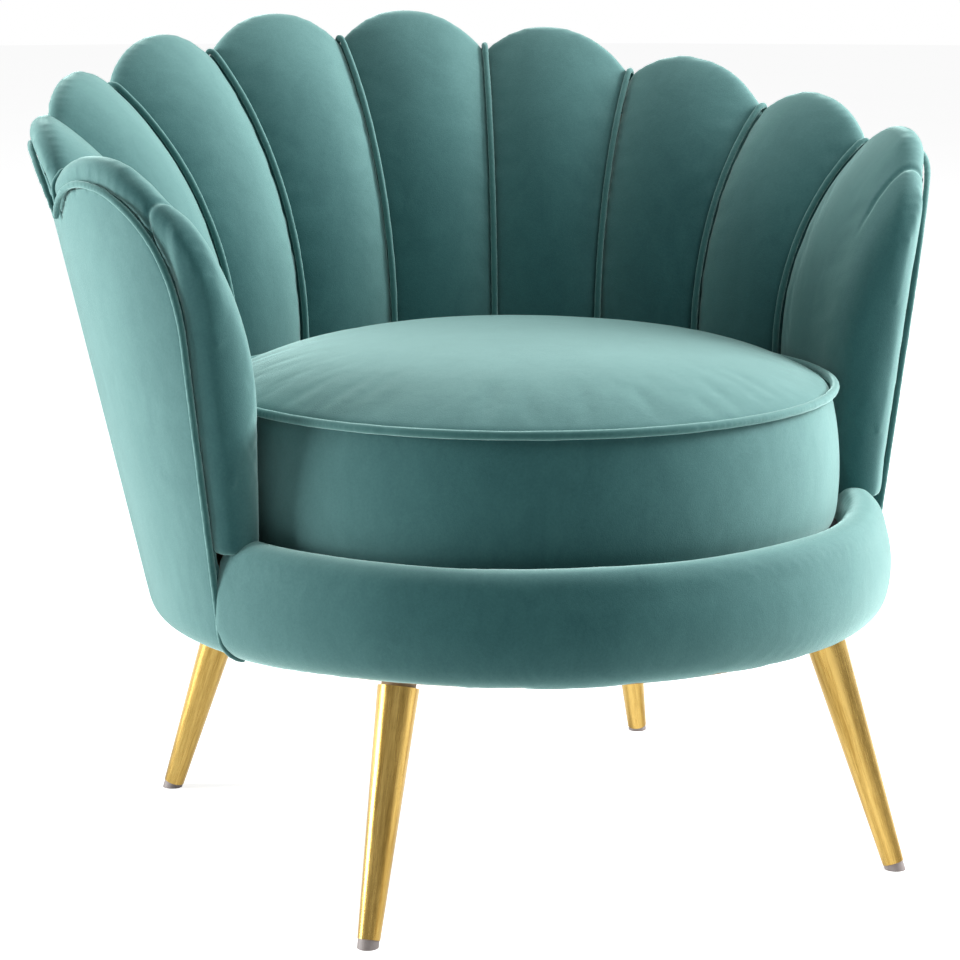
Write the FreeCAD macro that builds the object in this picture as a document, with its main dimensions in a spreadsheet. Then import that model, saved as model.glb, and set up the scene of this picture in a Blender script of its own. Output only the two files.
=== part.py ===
import FreeCAD, Part
import Sketcher
import math
import os

# Scallop back tub chair, in millimetres. +Z is up, the chair faces -Y, and the origin is on the
# floor, midway between the chair's sides and midway between its front and its back.
# The pieces are worked out about the axis of the round shell, which is also the centre of the
# four feet, and moved over the origin at the end. Angles of the shell are measured about that
# axis from the middle of the back (+Y) towards +X.

# Driving sizes: name, value, what it is
SIZES = [
    ("under_height", 208.0, "floor to the underside of the upholstery"),
    ("wrap_thickness", 4.0, "padding and cloth under the base board"),
    ("board_thickness", 18.0, "plywood of base board and seat ring"),
    ("board_radius", 309.0, "base board"),
    ("board_hole", 120.0, "radius of the base board's opening"),
    ("spacer_height", 14.0, "blocks between base board and seat ring"),
    ("spacer_length", 60.0, "block, round the ring"),
    ("spacer_width", 32.0, "block, across the ring"),
    ("spacer_count", 8.0, "blocks"),
    ("seat_ring_width", 62.0, "seat ring, across"),
    ("web_width", 55.0, "webbing strap"),
    ("web_pitch", 115.0, "from strap to strap"),
    ("web_thickness", 1.5, "webbing strap"),
    ("web_count", 4.0, "straps each way"),
    ("deck_foam", 20.0, "deck pad"),
    ("deck_cloth", 1.0, "cloth on the deck pad"),
    ("fit", 0.3, "clearance between neighbours"),
    ("cushion_radius", 284.5, "seat cushion at its fullest"),
    ("cushion_forward", 6.0, "seat circle in front of the shell axis"),
    ("cushion_side", 128.0, "cushion bottom to its top seam"),
    ("cushion_tuck", 11.5, "top seam inside the fullest radius"),
    ("cushion_foot", 4.0, "bottom edge inside the fullest radius"),
    ("cushion_edge", 14.0, "radius of the cushion's bottom edge"),
    ("cushion_bow", 290.0, "radius of the cushion's bulging side"),
    ("crown_height", 43.0, "cushion crown above its top seam"),
    ("crown_shoulder", 28.0, "rise of the crown over its shoulder"),
    ("crown_shoulder_width", 70.0, "width of the shoulder"),
    ("crown_shoulder_bow", 150.0, "radius of the shoulder"),
    ("cushion_welt", 4.0, "radius of the piping on the cushion"),
    ("shell_radius", 334.0, "outside of the shell where its flare starts"),
    ("shell_corner", 26.0, "radius of the shell's bottom edge"),
    ("flare_angle", 13.2, "lean of the shell's outside, in degrees"),
    ("arm_flare_angle", 7.3, "the same at the arm's front"),
    ("arm_foot_pull", 7.0, "how far the arm's foot turns in"),
    ("turn_in_angle", 60.0, "where the arms begin to turn in"),
    ("arm_end_angle", 101.5, "end of the arm's channel"),
    ("arm_edge_angle", 105.6, "front edge of the outside cover"),
    ("arm_tip_angle", 109.4, "foremost point of the arm's nose"),
    ("back_height", 727.0, "top of the scallops at the middle of the back"),
    ("arm_height", 627.0, "top of the arms"),
    ("rim_sweep_angle", 102.0, "angle over which the rim comes down"),
    ("arm_corner_width", 80.0, "rounding from the arm's top to its front, along the arm"),
    ("arm_corner_height", 120.0, "the same rounding, downwards"),
    ("channel_angle", 20.0, "width of one channel"),
    ("scallop_drop", 34.0, "seam below the top of a scallop"),
    ("channel_bulge", 16.0, "crown of a channel before its seam"),
    ("channel_fullness", 2.2, "exponent of the crown's curve"),
    ("crest_roll", 14.0, "radius of the rolled rim at a crest"),
    ("seam_roll", 9.0, "radius of the rolled rim at a seam"),
    ("crest_overhang", 5.0, "rolled rim beyond the outside at a crest"),
    ("crest_fall", 24.0, "outline seam below the top at a crest"),
    ("seam_fall", 33.0, "outline seam below the top at a seam"),
    ("upright_height", 415.0, "height up to which the inside is upright"),
    ("wrap_lap", 9.0, "upholstery wrapped in under the base board"),
    ("board_spare", 2.0, "room between the frame's boards and the pads above them"),
    ("rim_foam", 4.0, "foam below the outline seam, over the frame"),
    ("cover_thickness", 8.0, "padded outside cover"),
    ("band_thickness", 6.0, "bent plywood bands"),
    ("band_width", 34.0, "bent plywood bands"),
    ("middle_band_height", 420.0, "top of the middle band"),
    ("rib_depth", 14.0, "ribs, radially"),
    ("rib_thickness", 15.0, "ribs"),
    ("liner_thickness", 3.0, "bent board behind the channels"),
    ("nose_half_inside", 20.0, "inner half of the nose"),
    ("nose_half_outside", 20.0, "outer half of the nose"),
    ("nose_drop", 95.0, "fall of the nose's ridge to its tip"),
    ("nose_thin", 0.18, "share of its width that the nose's end keeps"),
    ("welt_radius", 3.2, "piping of the shell"),
    ("welt_lift", 5.2, "piping's centre above the seam"),
    ("rail_board_height", 70.0, "front rail board"),
    ("rail_board_thickness", 12.0, "front rail board"),
    ("rail_inner", 291.4, "inside of the front rail pad"),
    ("rail_crown", 12.5, "padding on top of the rail board"),
    ("rail_full", 328.5, "front rail pad low down"),
    ("rail_shoulder", 325.0, "front rail pad below its top edge"),
    ("rail_shoulder_drop", 22.0, "shoulder below the top"),
    ("rail_heel", 25.0, "lower end of the front face above the underside"),
    ("rail_bow", 100.0, "radius of the rail pad's face"),
    ("foot_spread", 353.0, "shell axis to each foot, on the floor"),
    ("leg_lean", 18.6, "lean of the legs, in degrees"),
    ("leg_top_radius", 17.5, "leg at its top"),
    ("leg_foot_radius", 9.5, "leg at its lower end"),
    ("leg_wall", 1.5, "wall of the tube"),
    ("wedge_height", 10.0, "wedge block, at the middle"),
    ("wedge_radius", 14.5, "wedge block"),
    ("glide_height", 6.0, "glide below the tube"),
    ("glide_plug", 14.0, "glide's plug inside the tube"),
    ("glide_inset", 0.6, "glide's rim inside the tube's rim"),
    ("plug_thickness", 10.0, "leg's end plug"),
    ("stud_radius", 4.0, "stud"),
    ("stud_reach", 20.0, "stud below the leg's top"),
    ("insert_radius", 6.0, "threaded insert"),
    ("dust_cloth", 1.0, "dust cover"),
]

DIAGONALS = {"back_right": 45.0, "back_left": 135.0, "front_left": 225.0, "front_right": 315.0}
CHANNELS = 10
WELT_FLATS = 8
# Places of a channel's sections, from seam (-1) over crest (0) to seam (1)
CHANNEL_STEPS = (-1.0, -0.8, -0.45, 0.0, 0.45, 0.8, 1.0)

doc = FreeCAD.newDocument("ScallopBackChair")
sheet = doc.addObject("Spreadsheet::Sheet", "Sizes")
for row, (alias, value, note) in enumerate(SIZES, start=2):
    sheet.set("A%d" % row, note)
    sheet.set("B%d" % row, str(value))
    sheet.setAlias("B%d" % row, alias)
doc.recompute()

pieces = []


def size(alias):
    """The value of one driving size."""
    return float(sheet.get(alias))


def keep(item, label):
    """Names an object of the document as one of the chair's pieces."""
    item.Label = label
    pieces.append(item)
    return item


def part_feature(label, shape, placement=None):
    """A piece whose form comes from lofts, pipes or copies."""
    item = doc.addObject("Part::Feature", label)
    item.Shape = shape
    if placement is not None:
        item.Placement = placement
    return keep(item, label)


# Derived levels, from the floor up
FIT = size("fit")
BOARD_BOTTOM = size("under_height") + size("wrap_thickness")
BOARD_TOP = BOARD_BOTTOM + size("board_thickness")
RING_BOTTOM = BOARD_TOP + size("spacer_height")
RING_TOP = RING_BOTTOM + size("board_thickness")
DECK_BOTTOM = RING_TOP + 2 * size("web_thickness")
DECK_TOP = DECK_BOTTOM + size("deck_foam") + size("deck_cloth")
CUSHION_BOTTOM = DECK_TOP + FIT
RAIL_BOARD_TOP = BOARD_TOP + size("rail_board_height")
RAIL_TOP = RAIL_BOARD_TOP + size("rail_crown")
FLARE_START = size("under_height") + size("shell_corner")
RING_RADIUS = size("board_radius") - size("rail_board_thickness") - FIT
LEG_TOP = BOARD_BOTTOM - size("wedge_height")

# Layers of the shell, measured inwards from its outside
BAND_OUT = size("cover_thickness") + FIT
BAND_IN = BAND_OUT + size("band_thickness")
RIB_OUT = BAND_IN + FIT
RIB_IN = RIB_OUT + size("rib_depth")
LINER_OUT = RIB_IN + FIT
LINER_IN = LINER_OUT + size("liner_thickness")
CHANNEL_BACK = LINER_IN + FIT


# Form of the shell
def radial(angle, radius, height):
    """A point at a radius and height in the upright plane at an angle from the back."""
    turn = math.radians(angle)
    return FreeCAD.Vector(radius * math.sin(turn), radius * math.cos(turn), height)


def arm_share(angle):
    """0 round the back, growing to 1 at the front edge of the arms."""
    past = abs(angle) - size("turn_in_angle")
    reach = size("arm_edge_angle") - size("turn_in_angle")
    return (past / reach) ** 2 if past > 0 else 0.0


def flare(angle):
    """Outward slope of the shell's outside."""
    back = math.tan(math.radians(size("flare_angle")))
    arm = math.tan(math.radians(size("arm_flare_angle")))
    return back + (arm - back) * arm_share(angle)


def outside(angle, height):
    """Radius of the shell's outside."""
    foot = size("shell_radius") - size("arm_foot_pull") * arm_share(angle)
    return foot + flare(angle) * (height - FLARE_START)


def rim(angle):
    """Height of the scallops' tops, before the arm's corner."""
    sweep = size("rim_sweep_angle")
    share = (1 + math.cos(math.pi * min(abs(angle), sweep) / sweep)) / 2
    return size("arm_height") + (size("back_height") - size("arm_height")) * share


def arm_radius():
    """Radius of the arm's front edge where its corner begins."""
    return outside(size("arm_edge_angle"), size("arm_height") - size("arm_corner_height"))


def corner_start():
    """Angle at which the arm's top begins to round down to its front."""
    return size("arm_edge_angle") - math.degrees(math.asin(size("arm_corner_width") / arm_radius()))


def corner_drop(angle):
    """Fall of the rim at the arm's corner, a quarter ellipse seen from the side."""
    past = math.radians(max(abs(angle) - corner_start(), 0.0))
    along = min(arm_radius() * math.sin(past) / size("arm_corner_width"), 1.0)
    return size("arm_corner_height") * (1 - math.sqrt(1 - along ** 2))


def seat_edge(angle):
    """Distance from the shell axis to the circle that the cushion needs."""
    needed = size("cushion_radius") + FIT
    forward = size("cushion_forward")
    turn = math.radians(angle)
    return math.sqrt(needed ** 2 - (forward * math.sin(turn)) ** 2) - forward * math.cos(turn)


def fullness(step):
    """1 on a channel's crest, 0 in its seams."""
    return 1 - abs(step) ** size("channel_fullness")


def blend(seam, crest, full):
    """A size between its value in the seam and on the crest."""
    return seam + (crest - seam) * full


def rim_top(angle, full):
    """Top of the rolled rim."""
    return rim(angle) - blend(size("scallop_drop"), 0, full) - corner_drop(angle)


def outline_height(angle, full):
    """Height of the seam between the rolled rim and the outside cover."""
    return rim_top(angle, full) - blend(size("seam_fall"), size("crest_fall"), full)


def overhang(angle, full):
    """How far the rolled rim stands beyond the outside: none at a seam or on the arms."""
    arm_seam = (CHANNELS / 2 - 1) * size("channel_angle")
    left = (arm_seam - abs(angle)) / (arm_seam - size("turn_in_angle"))
    return size("crest_overhang") * full * min(max(left, 0.0), 1.0)


def frame_top(angle):
    """Upper edge of ribs, liner and top band."""
    return outline_height(angle, 0) - size("rim_foam") - FIT


def board_top(angle):
    """Top of the frame's boards: below the pads, and falling evenly along the arms."""
    arm_seam = (CHANNELS / 2 - 1) * size("channel_angle")
    end = size("arm_end_angle")
    along = max(abs(angle) - arm_seam, 0.0) / (end - arm_seam)
    spare = size("board_spare")
    fall = (corner_drop(end) + spare) * along ** 2
    return frame_top(angle) + corner_drop(angle) - spare - fall


def arc(angle, centre, radius, start, end):
    """Arc in the upright plane at an angle, between two directions in degrees."""
    points = []
    for direction in (start, (start + end) / 2, end):
        turn = math.radians(direction)
        out = centre[0] + radius * math.cos(turn)
        points.append(radial(angle, out, centre[1] + radius * math.sin(turn)))
    return Part.Arc(*points).toShape()


def line(angle, start, end):
    """Line in the upright plane at an angle."""
    return Part.LineSegment(radial(angle, *start), radial(angle, *end)).toShape()


def inside_curve(angle, foot, bottom, top, roll, tuck=0.0):
    """Inside of the upholstery at an angle: upright, then bending back, then the rolled rim.

    The long bend is tangent to the upright and to the roll, and the roll ends tangent to the
    shell's outside, moved in by tuck.
    """
    middle_height = top - roll
    slope = flare(angle)
    middle_out = outside(angle, middle_height) - tuck - roll * math.sqrt(1 + slope ** 2)
    start = size("upright_height")
    back = foot - middle_out
    rise = middle_height - start
    bend = (roll ** 2 - back ** 2 - rise ** 2) / (2 * (back + roll))
    bend_centre = (foot + bend, start)
    lean = math.degrees(math.asin(rise / (bend - roll)))
    end = -math.degrees(math.atan(slope))
    return [
        line(angle, (foot, bottom), (foot, start)),
        arc(angle, bend_centre, bend, 180, 180 - lean),
        arc(angle, (middle_out, middle_height), roll, 180 - lean, end),
    ]


def closed(angle, edges, corners):
    """Closes edges with straight lines through corners, back to where they start."""
    turn = math.radians(angle)
    last = edges[-1].lastVertex().Point
    here = (last.x * math.sin(turn) + last.y * math.cos(turn), last.z)
    first = edges[0].firstVertex().Point
    home = (first.x * math.sin(turn) + first.y * math.cos(turn), first.z)
    for there in list(corners) + [home]:
        edges.append(line(angle, here, there))
        here = there
    return Part.Wire(edges)


def loft(wires):
    """Smooth solid through closed wires."""
    return Part.makeLoft(wires, True, False)


def one_solid(shape):
    """The only solid of a fused shape."""
    cleaned = shape.removeSplitter()
    if len(cleaned.Solids) != 1:
        raise ValueError("%d solids where one was expected" % len(cleaned.Solids))
    return cleaned.Solids[0]


def angles_across(start, end, step):
    """Evenly spread angles from start to end, no further apart than step."""
    count = math.ceil((end - start) / step)
    return [start + (end - start) * index / count for index in range(count + 1)]


# Channels
def channel_sections(number, arm_end):
    """Angles and fullness of a channel's sections, for channel 1 to 10 from left to right."""
    width = size("channel_angle")
    left = (number - 1 - CHANNELS / 2) * width
    sections = [(left + width * (step + 1) / 2, fullness(step)) for step in CHANNEL_STEPS]
    if number == 1:
        sections = [(-angle, full) for angle, full in reversed(arm_sections(arm_end))]
    if number == CHANNELS:
        sections = arm_sections(arm_end)
    return sections


def arm_sections(arm_end):
    """The right arm's channel: rising from its seam to the arm's corner, then full to its end."""
    width = size("channel_angle")
    seam = (CHANNELS / 2 - 1) * width
    crest = corner_start()
    rising = [(seam + (crest - seam) * (step + 1), fullness(step)) for step in CHANNEL_STEPS[:4]]
    level = angles_across(crest, arm_end, width / 4)[1:] if arm_end > crest else []
    return rising + [(angle, 1.0) for angle in level]


def channel_outline(angle, full):
    """Section of a channel's pad: crowned inside, rolled rim, and the seat for the frame."""
    foot = seat_edge(angle) + blend(size("channel_bulge"), 0, full)
    roll = blend(size("seam_roll"), size("crest_roll"), full)
    top = rim_top(angle, full)
    edges = inside_curve(angle, foot, DECK_BOTTOM + FIT, top, roll, -overhang(angle, full))
    seam = outline_height(angle, full)
    notch = frame_top(angle) + FIT
    sewn_in = overhang(angle, full) / 5
    corners = [
        (outside(angle, seam) - sewn_in, seam),
        (outside(angle, seam) - BAND_OUT, seam),
        (outside(angle, notch) - BAND_OUT, notch),
        (outside(angle, notch) - CHANNEL_BACK, notch),
        (outside(angle, DECK_BOTTOM + FIT) - CHANNEL_BACK, DECK_BOTTOM + FIT),
    ]
    return closed(angle, edges, corners)


def add_channels():
    """Ten foam and velvet pads, one per scallop."""
    for number in range(1, CHANNELS + 1):
        sections = channel_sections(number, size("arm_end_angle"))
        wires = [channel_outline(angle, full) for angle, full in sections]
        part_feature("channel_%d" % number, loft(wires))


def add_arm_fronts():
    """The rounded noses of the arms, standing on the front rail."""
    start = size("arm_end_angle")
    reach = size("arm_tip_angle") - start
    end_along = math.sqrt(1 - size("nose_thin") ** 2)
    for side, name in ((-1, "left"), (1, "right")):
        wires = []
        for share in (0.0, 0.4, 0.68, 0.86, 0.96, 1.0):
            along = end_along * share
            width = math.sqrt(1 - along ** 2)
            angle = side * (start + reach * along)
            foot = seat_edge(angle) + size("nose_half_inside") * (1 - width)
            tuck = FIT + size("nose_half_outside") * (1 - width)
            top = rim_top(start, 1.0) - size("nose_drop") * (1 - width)
            roll = size("crest_roll") * width
            bottom = RAIL_TOP + FIT
            edges = inside_curve(angle, foot, bottom, top, roll, tuck)
            wires.append(closed(angle, edges, [(outside(angle, bottom) - tuck, bottom)]))
        nose = loft(wires).cut(cover_space(side))
        part_feature("arm_front_%s" % name, one_solid(nose))


def cover_space(side):
    """Room that the front end of an arm's cover needs behind the nose, with its clearance."""
    past = math.degrees(FIT / arm_radius())
    wires = []
    for angle in angles_across(size("arm_end_angle") - 1, size("arm_edge_angle") + past, 1.5):
        turned = side * angle
        top = outline_height(turned, 1.0) + corner_drop(turned) + FIT
        low = BOARD_TOP
        inner = (outside(turned, low) - BAND_OUT, low)
        outer = (outside(turned, low) + 2 * BAND_OUT, low)
        edges = [line(turned, inner, outer)]
        corners = [
            (outside(turned, top) + 2 * BAND_OUT, top),
            (outside(turned, top) - BAND_OUT, top),
        ]
        wires.append(closed(turned, edges, corners))
    return loft(wires).cut(corner_trim(side, FIT))


def add_channel_welts():
    """Piping in the nine seams, from the deck over the rim to the outline seam."""
    lift = size("welt_lift")
    width = size("channel_angle")
    for number in range(1, CHANNELS):
        angle = (number - CHANNELS / 2) * width
        foot = seat_edge(angle) + size("channel_bulge")
        roll = size("seam_roll")
        top = rim_top(angle, 0)
        bottom = DECK_BOTTOM + FIT
        out = lift * math.sqrt(1 + flare(angle) ** 2)
        edges = inside_curve(angle, foot - lift, bottom, top + lift, roll + lift, -out)
        end = outline_height(angle, 0) + 3 * size("welt_radius")
        last = edges[-1].lastVertex().Point
        edges.append(Part.LineSegment(last, radial(angle, outside(angle, end) + out, end)).toShape())
        ring = welt_section(radial(angle, foot - lift, bottom), FreeCAD.Vector(0, 0, 1))
        pipe = Part.Wire(edges).makePipeShell([ring], True, False)
        part_feature("channel_welt_%d" % number, pipe)


# Outside cover and outline piping
def bottom_centre(angle):
    """Centre of the rounding between the shell's outside and its underside."""
    middle = outside(angle, FLARE_START) - size("shell_corner") * math.sqrt(1 + flare(angle) ** 2)
    return middle, FLARE_START


def cover_outline(angle, full):
    """Section of the outside cover, from under the base board up to the outline seam."""
    corner = size("shell_corner")
    slope = flare(angle)
    centre = bottom_centre(angle)
    lip = size("board_radius") - size("wrap_lap")
    under = size("under_height")
    thickness = size("cover_thickness")
    top = outline_height(angle, full) + corner_drop(angle) - FIT
    shelf = BOARD_TOP + FIT
    edge = size("board_radius") + FIT
    edges = [
        line(angle, (lip, under), (centre[0], under)),
        arc(angle, centre, corner, 270, 360 - math.degrees(math.atan(slope))),
    ]
    corners = [
        (outside(angle, top), top),
        (outside(angle, top) - thickness, top),
        (outside(angle, shelf) - thickness, shelf),
        (edge, shelf),
        (edge, BOARD_BOTTOM - FIT),
        (lip, BOARD_BOTTOM - FIT),
    ]
    return closed(angle, edges, corners)


def corner_trim(side, beyond):
    """What the arm's corner, moved outwards a little, takes off the front end of the cover."""
    wide = size("arm_corner_width") + beyond
    high = size("arm_corner_height") + beyond
    turn = side * corner_start()
    beside = across(turn) * side
    hub = radial(turn, 0, outline_height(turn, 1.0) - size("arm_corner_height"))

    def spot(along, up):
        return hub + beside * along + FreeCAD.Vector(0, 0, up)

    oval = Part.Ellipse(spot(0, high), spot(wide, 0), hub)
    outline = [Part.ArcOfEllipse(oval, 0, math.pi / 2).toShape()]
    ends = [spot(wide, 0), spot(2 * wide, 0), spot(2 * wide, 2 * high), spot(0, 2 * high)]
    for start, end in zip(ends, ends[1:] + [spot(0, high)]):
        outline.append(Part.LineSegment(start, end).toShape())
    return Part.Face(Part.Wire(outline)).extrude(radial(turn, 2 * size("shell_radius"), 0))


def add_outside_cover():
    """One padded skin round back and arms, with the scalloped upper edge."""
    lobes = []
    for number in range(1, CHANNELS + 1):
        sections = channel_sections(number, size("arm_edge_angle"))
        lobes.append(loft([cover_outline(angle, full) for angle, full in sections]))
    lobes[0] = one_solid(lobes[0].cut(corner_trim(-1, -4 * FIT)))
    lobes[-1] = one_solid(lobes[-1].cut(corner_trim(1, -4 * FIT)))
    part_feature("outside_cover", one_solid(lobes[0].multiFuse(lobes[1:])))


def welt_section(centre, direction):
    """Section of the piping: eight flats round its cord."""
    circle = Part.Circle(centre, direction, size("welt_radius"))
    corners = [circle.value(2 * math.pi * turn / WELT_FLATS) for turn in range(WELT_FLATS)]
    return Part.makePolygon(corners + corners[:1])


def outline_point(angle, full):
    """Centre of the outline piping, which lies on the cover's outside."""
    seam = outline_height(angle, full)
    off = (size("welt_radius") + FIT) * math.sqrt(1 + flare(angle) ** 2)
    return radial(angle, outside(angle, seam) + off, seam)


def across(angle):
    """Direction round the shell at an angle."""
    turn = math.radians(angle)
    return FreeCAD.Vector(math.cos(turn), -math.sin(turn), 0)


def add_outline_welt():
    """Piping along the scallops, round the arm's corner and down its front edge."""
    runs = []
    for number in range(1, CHANNELS + 1):
        sections = channel_sections(number, corner_start())
        runs.append(loft([welt_section(outline_point(*s), across(s[0])) for s in sections]))
    for side in (-1, 1):
        runs.append(corner_run(side))
        runs.append(front_run(side))
    part_feature("outline_welt", one_solid(runs[0].multiFuse(runs[1:])))


def corner_run(side):
    """Piping round the corner of one arm, square to its own path."""
    wide = size("arm_corner_width")
    high = size("arm_corner_height")
    down = front_direction(side)
    wires = []
    for share in (0.0, 0.3, 0.55, 0.76, 0.91, 0.98, 1.0):
        turned = math.degrees(math.asin(wide * share / arm_radius()))
        angle = side * (corner_start() + turned)
        ahead = wide * math.sqrt(1 - share ** 2)
        direction = across(angle) * side * ahead + down * high * share
        wires.append(welt_section(outline_point(angle, 1.0), direction))
    return loft(wires)


def front_direction(side):
    """Direction of the arm's front edge, downwards."""
    angle = side * size("arm_edge_angle")
    high = radial(angle, outside(angle, size("arm_height")), size("arm_height"))
    low = radial(angle, outside(angle, FLARE_START), FLARE_START)
    return (low - high).normalize()


def front_run(side):
    """Piping down the front edge of one arm and under the base."""
    angle = side * size("arm_edge_angle")
    slope = flare(angle)
    lift = size("welt_radius") + FIT
    top = outline_point(angle, 1.0)
    bend_radius = size("shell_corner") + lift
    bend = arc(angle, bottom_centre(angle), bend_radius, -math.degrees(math.atan(slope)), -80)
    run = Part.LineSegment(top, bend.firstVertex().Point).toShape()
    path = Part.Wire([run, bend])
    return path.makePipeShell([welt_section(top, front_direction(side))], True, False)


# Frame of the back
def shell_layer(outer, inner, bottom, top):
    """Sheet round back and arms; outer and inner are depths below the shell's outside."""
    wires = []
    end = size("arm_end_angle")
    for angle in angles_across(-end, end, size("channel_angle") / 2):
        high = top(angle)
        low = bottom(angle)
        edges = [line(angle, (outside(angle, low) - outer, low), (outside(angle, high) - outer, high))]
        corners = [
            (outside(angle, high) - inner, high),
            (outside(angle, low) - inner, low),
        ]
        wires.append(closed(angle, edges, corners))
    return loft(wires)


def add_back_frame():
    """Bands and liner of bent board, with ribs between them."""
    width = size("band_width")
    low = BOARD_TOP + FIT
    middle = size("middle_band_height")
    bands = {
        "lower_band": (lambda a: low, lambda a: low + width),
        "middle_band": (lambda a: middle - width, lambda a: middle),
        "top_band": (lambda a: board_top(a) - width, board_top),
    }
    for name, (bottom, top) in bands.items():
        part_feature(name, shell_layer(BAND_OUT, BAND_IN, bottom, top))
    liner = shell_layer(LINER_OUT, LINER_IN, lambda a: RING_TOP + FIT, board_top)
    part_feature("back_liner", liner)
    for number in range(1, CHANNELS):
        angle = (number - CHANNELS / 2) * size("channel_angle")
        part_feature("back_rib_%d" % number, rib(angle))
    post = size("arm_end_angle") - 2 * rib_half()
    part_feature("arm_post_left", rib(-post, FIT))
    part_feature("arm_post_right", rib(post, FIT))


def rib_half():
    """Half of a rib's thickness, as an angle at its foot."""
    return math.degrees(size("rib_thickness") / 2 / (size("shell_radius") - RIB_IN))


def rib(angle, loose=0.0):
    """Upright plywood rib at an angle, standing on the base board, shaped to the bands."""
    depth = RIB_OUT + loose
    wires = []
    for turned in (angle - rib_half(), angle, angle + rib_half()):
        high = board_top(turned) - FIT
        low = BOARD_TOP + FIT
        foot = (outside(turned, low) - depth, low)
        edges = [line(turned, foot, (outside(turned, high) - depth, high))]
        corners = [
            (outside(turned, high) - RIB_IN, high),
            (outside(turned, low) - RIB_IN, low),
        ]
        wires.append(closed(turned, edges, corners))
    return loft(wires)


# Sketched pieces
def origin_plane(body, role):
    """One of a body's own origin planes."""
    return [item for item in body.Origin.OriginFeatures if item.Role == role][0]


def new_body(label):
    """An empty body, which is also a piece."""
    return keep(doc.addObject("PartDesign::Body", label), label)


def circles_sketch(body, formulas):
    """Circles about the origin, on the body's level plane."""
    sketch = body.newObject("Sketcher::SketchObject", body.Name + "_circles")
    sketch.AttachmentSupport = [(origin_plane(body, "XY_Plane"), "")]
    sketch.MapMode = "FlatFace"
    for index, formula in enumerate(formulas):
        radius = float(sketch.evalExpression(formula))
        middle = FreeCAD.Vector(0, 0, 0)
        sketch.addGeometry(Part.Circle(middle, FreeCAD.Vector(0, 0, 1), radius), False)
        sketch.addConstraint(Sketcher.Constraint("Coincident", index, 3, -1, 1))
        number = sketch.addConstraint(Sketcher.Constraint("Radius", index, radius))
        sketch.setExpression("Constraints[%d]" % number, formula)
    return sketch


def pad(body, sketch, formula):
    """Pads a sketch upwards."""
    feature = body.newObject("PartDesign::Pad", body.Name + "_pad")
    feature.Profile = sketch
    feature.setExpression("Length", formula)
    return feature


def disc(label, radii, thickness, height, forward=0.0):
    """Round board or sheet: outer and perhaps inner radius, thickness and height, as formulas."""
    body = new_body(label)
    pad(body, circles_sketch(body, radii), thickness)
    body.Placement.Base = FreeCAD.Vector(0, -forward, 0)
    body.setExpression("Placement.Base.z", height)
    return body


def profile_sketch(body, corners):
    """Closed outline in the body's upright plane.

    A corner is (out, up) or (out, up, radius), as formulas; with a radius, the edge to the next
    corner is an arc that bulges to the right of the way round.
    """
    sketch = body.newObject("Sketcher::SketchObject", body.Name + "_profile")
    sketch.AttachmentSupport = [(origin_plane(body, "XZ_Plane"), "")]
    sketch.MapMode = "FlatFace"
    spots = []
    for corner in corners:
        values = [float(sketch.evalExpression(formula)) for formula in corner[:2]]
        spots.append(FreeCAD.Vector(values[0], values[1], 0))
    starts = []
    for index, corner in enumerate(corners):
        here = spots[index]
        there = spots[(index + 1) % len(spots)]
        if len(corner) == 3:
            radius = float(sketch.evalExpression(corner[2]))
            chord = there - here
            rise = radius - math.sqrt(radius ** 2 - (chord.Length / 2) ** 2)
            right = FreeCAD.Vector(chord.y, -chord.x, 0).normalize()
            curve = Part.Arc(here, (here + there) * 0.5 + right * rise, there)
            sketch.addGeometry(curve, False)
            number = sketch.addConstraint(Sketcher.Constraint("Radius", index, radius))
            sketch.setExpression("Constraints[%d]" % number, corner[2])
            at_start = sketch.Geometry[index].StartPoint.distanceToPoint(here) < 0.01
            starts.append(1 if at_start else 2)
        else:
            sketch.addGeometry(Part.LineSegment(here, there), False)
            starts.append(1)
    for index, corner in enumerate(corners):
        before = (index - 1) % len(corners)
        sketch.addConstraint(
            Sketcher.Constraint("Coincident", before, 3 - starts[before], index, starts[index])
        )
        hold(sketch, index, starts[index], "DistanceX", corner[0], spots[index].x, -2)
        hold(sketch, index, starts[index], "DistanceY", corner[1], spots[index].y, -1)
    return sketch


def hold(sketch, index, point, kind, formula, value, axis):
    """Ties one coordinate of a sketch point to a formula, or to an axis where it is zero."""
    if formula == "0":
        sketch.addConstraint(Sketcher.Constraint("PointOnObject", index, point, axis))
    else:
        number = sketch.addConstraint(Sketcher.Constraint(kind, index, point, value))
        sketch.setExpression("Constraints[%d]" % number, formula)


def revolve(body, sketch, turn=360.0):
    """Revolves a profile about the body's upright axis."""
    feature = body.newObject("PartDesign::Revolution", body.Name + "_turn")
    feature.Profile = sketch
    feature.ReferenceAxis = (sketch, ["V_Axis"])
    feature.Angle = turn
    return feature


BOARD_BOTTOM_FORMULA = "Sizes.under_height + Sizes.wrap_thickness"
RING_BOTTOM_FORMULA = BOARD_BOTTOM_FORMULA + " + Sizes.board_thickness + Sizes.spacer_height"
DECK_BOTTOM_FORMULA = RING_BOTTOM_FORMULA + " + Sizes.board_thickness + 2 * Sizes.web_thickness"
DECK_RADIUS_FORMULA = "Sizes.cushion_radius - Sizes.fit"
RING_RADIUS_FORMULA = "Sizes.board_radius - Sizes.rail_board_thickness - Sizes.fit"


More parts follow.
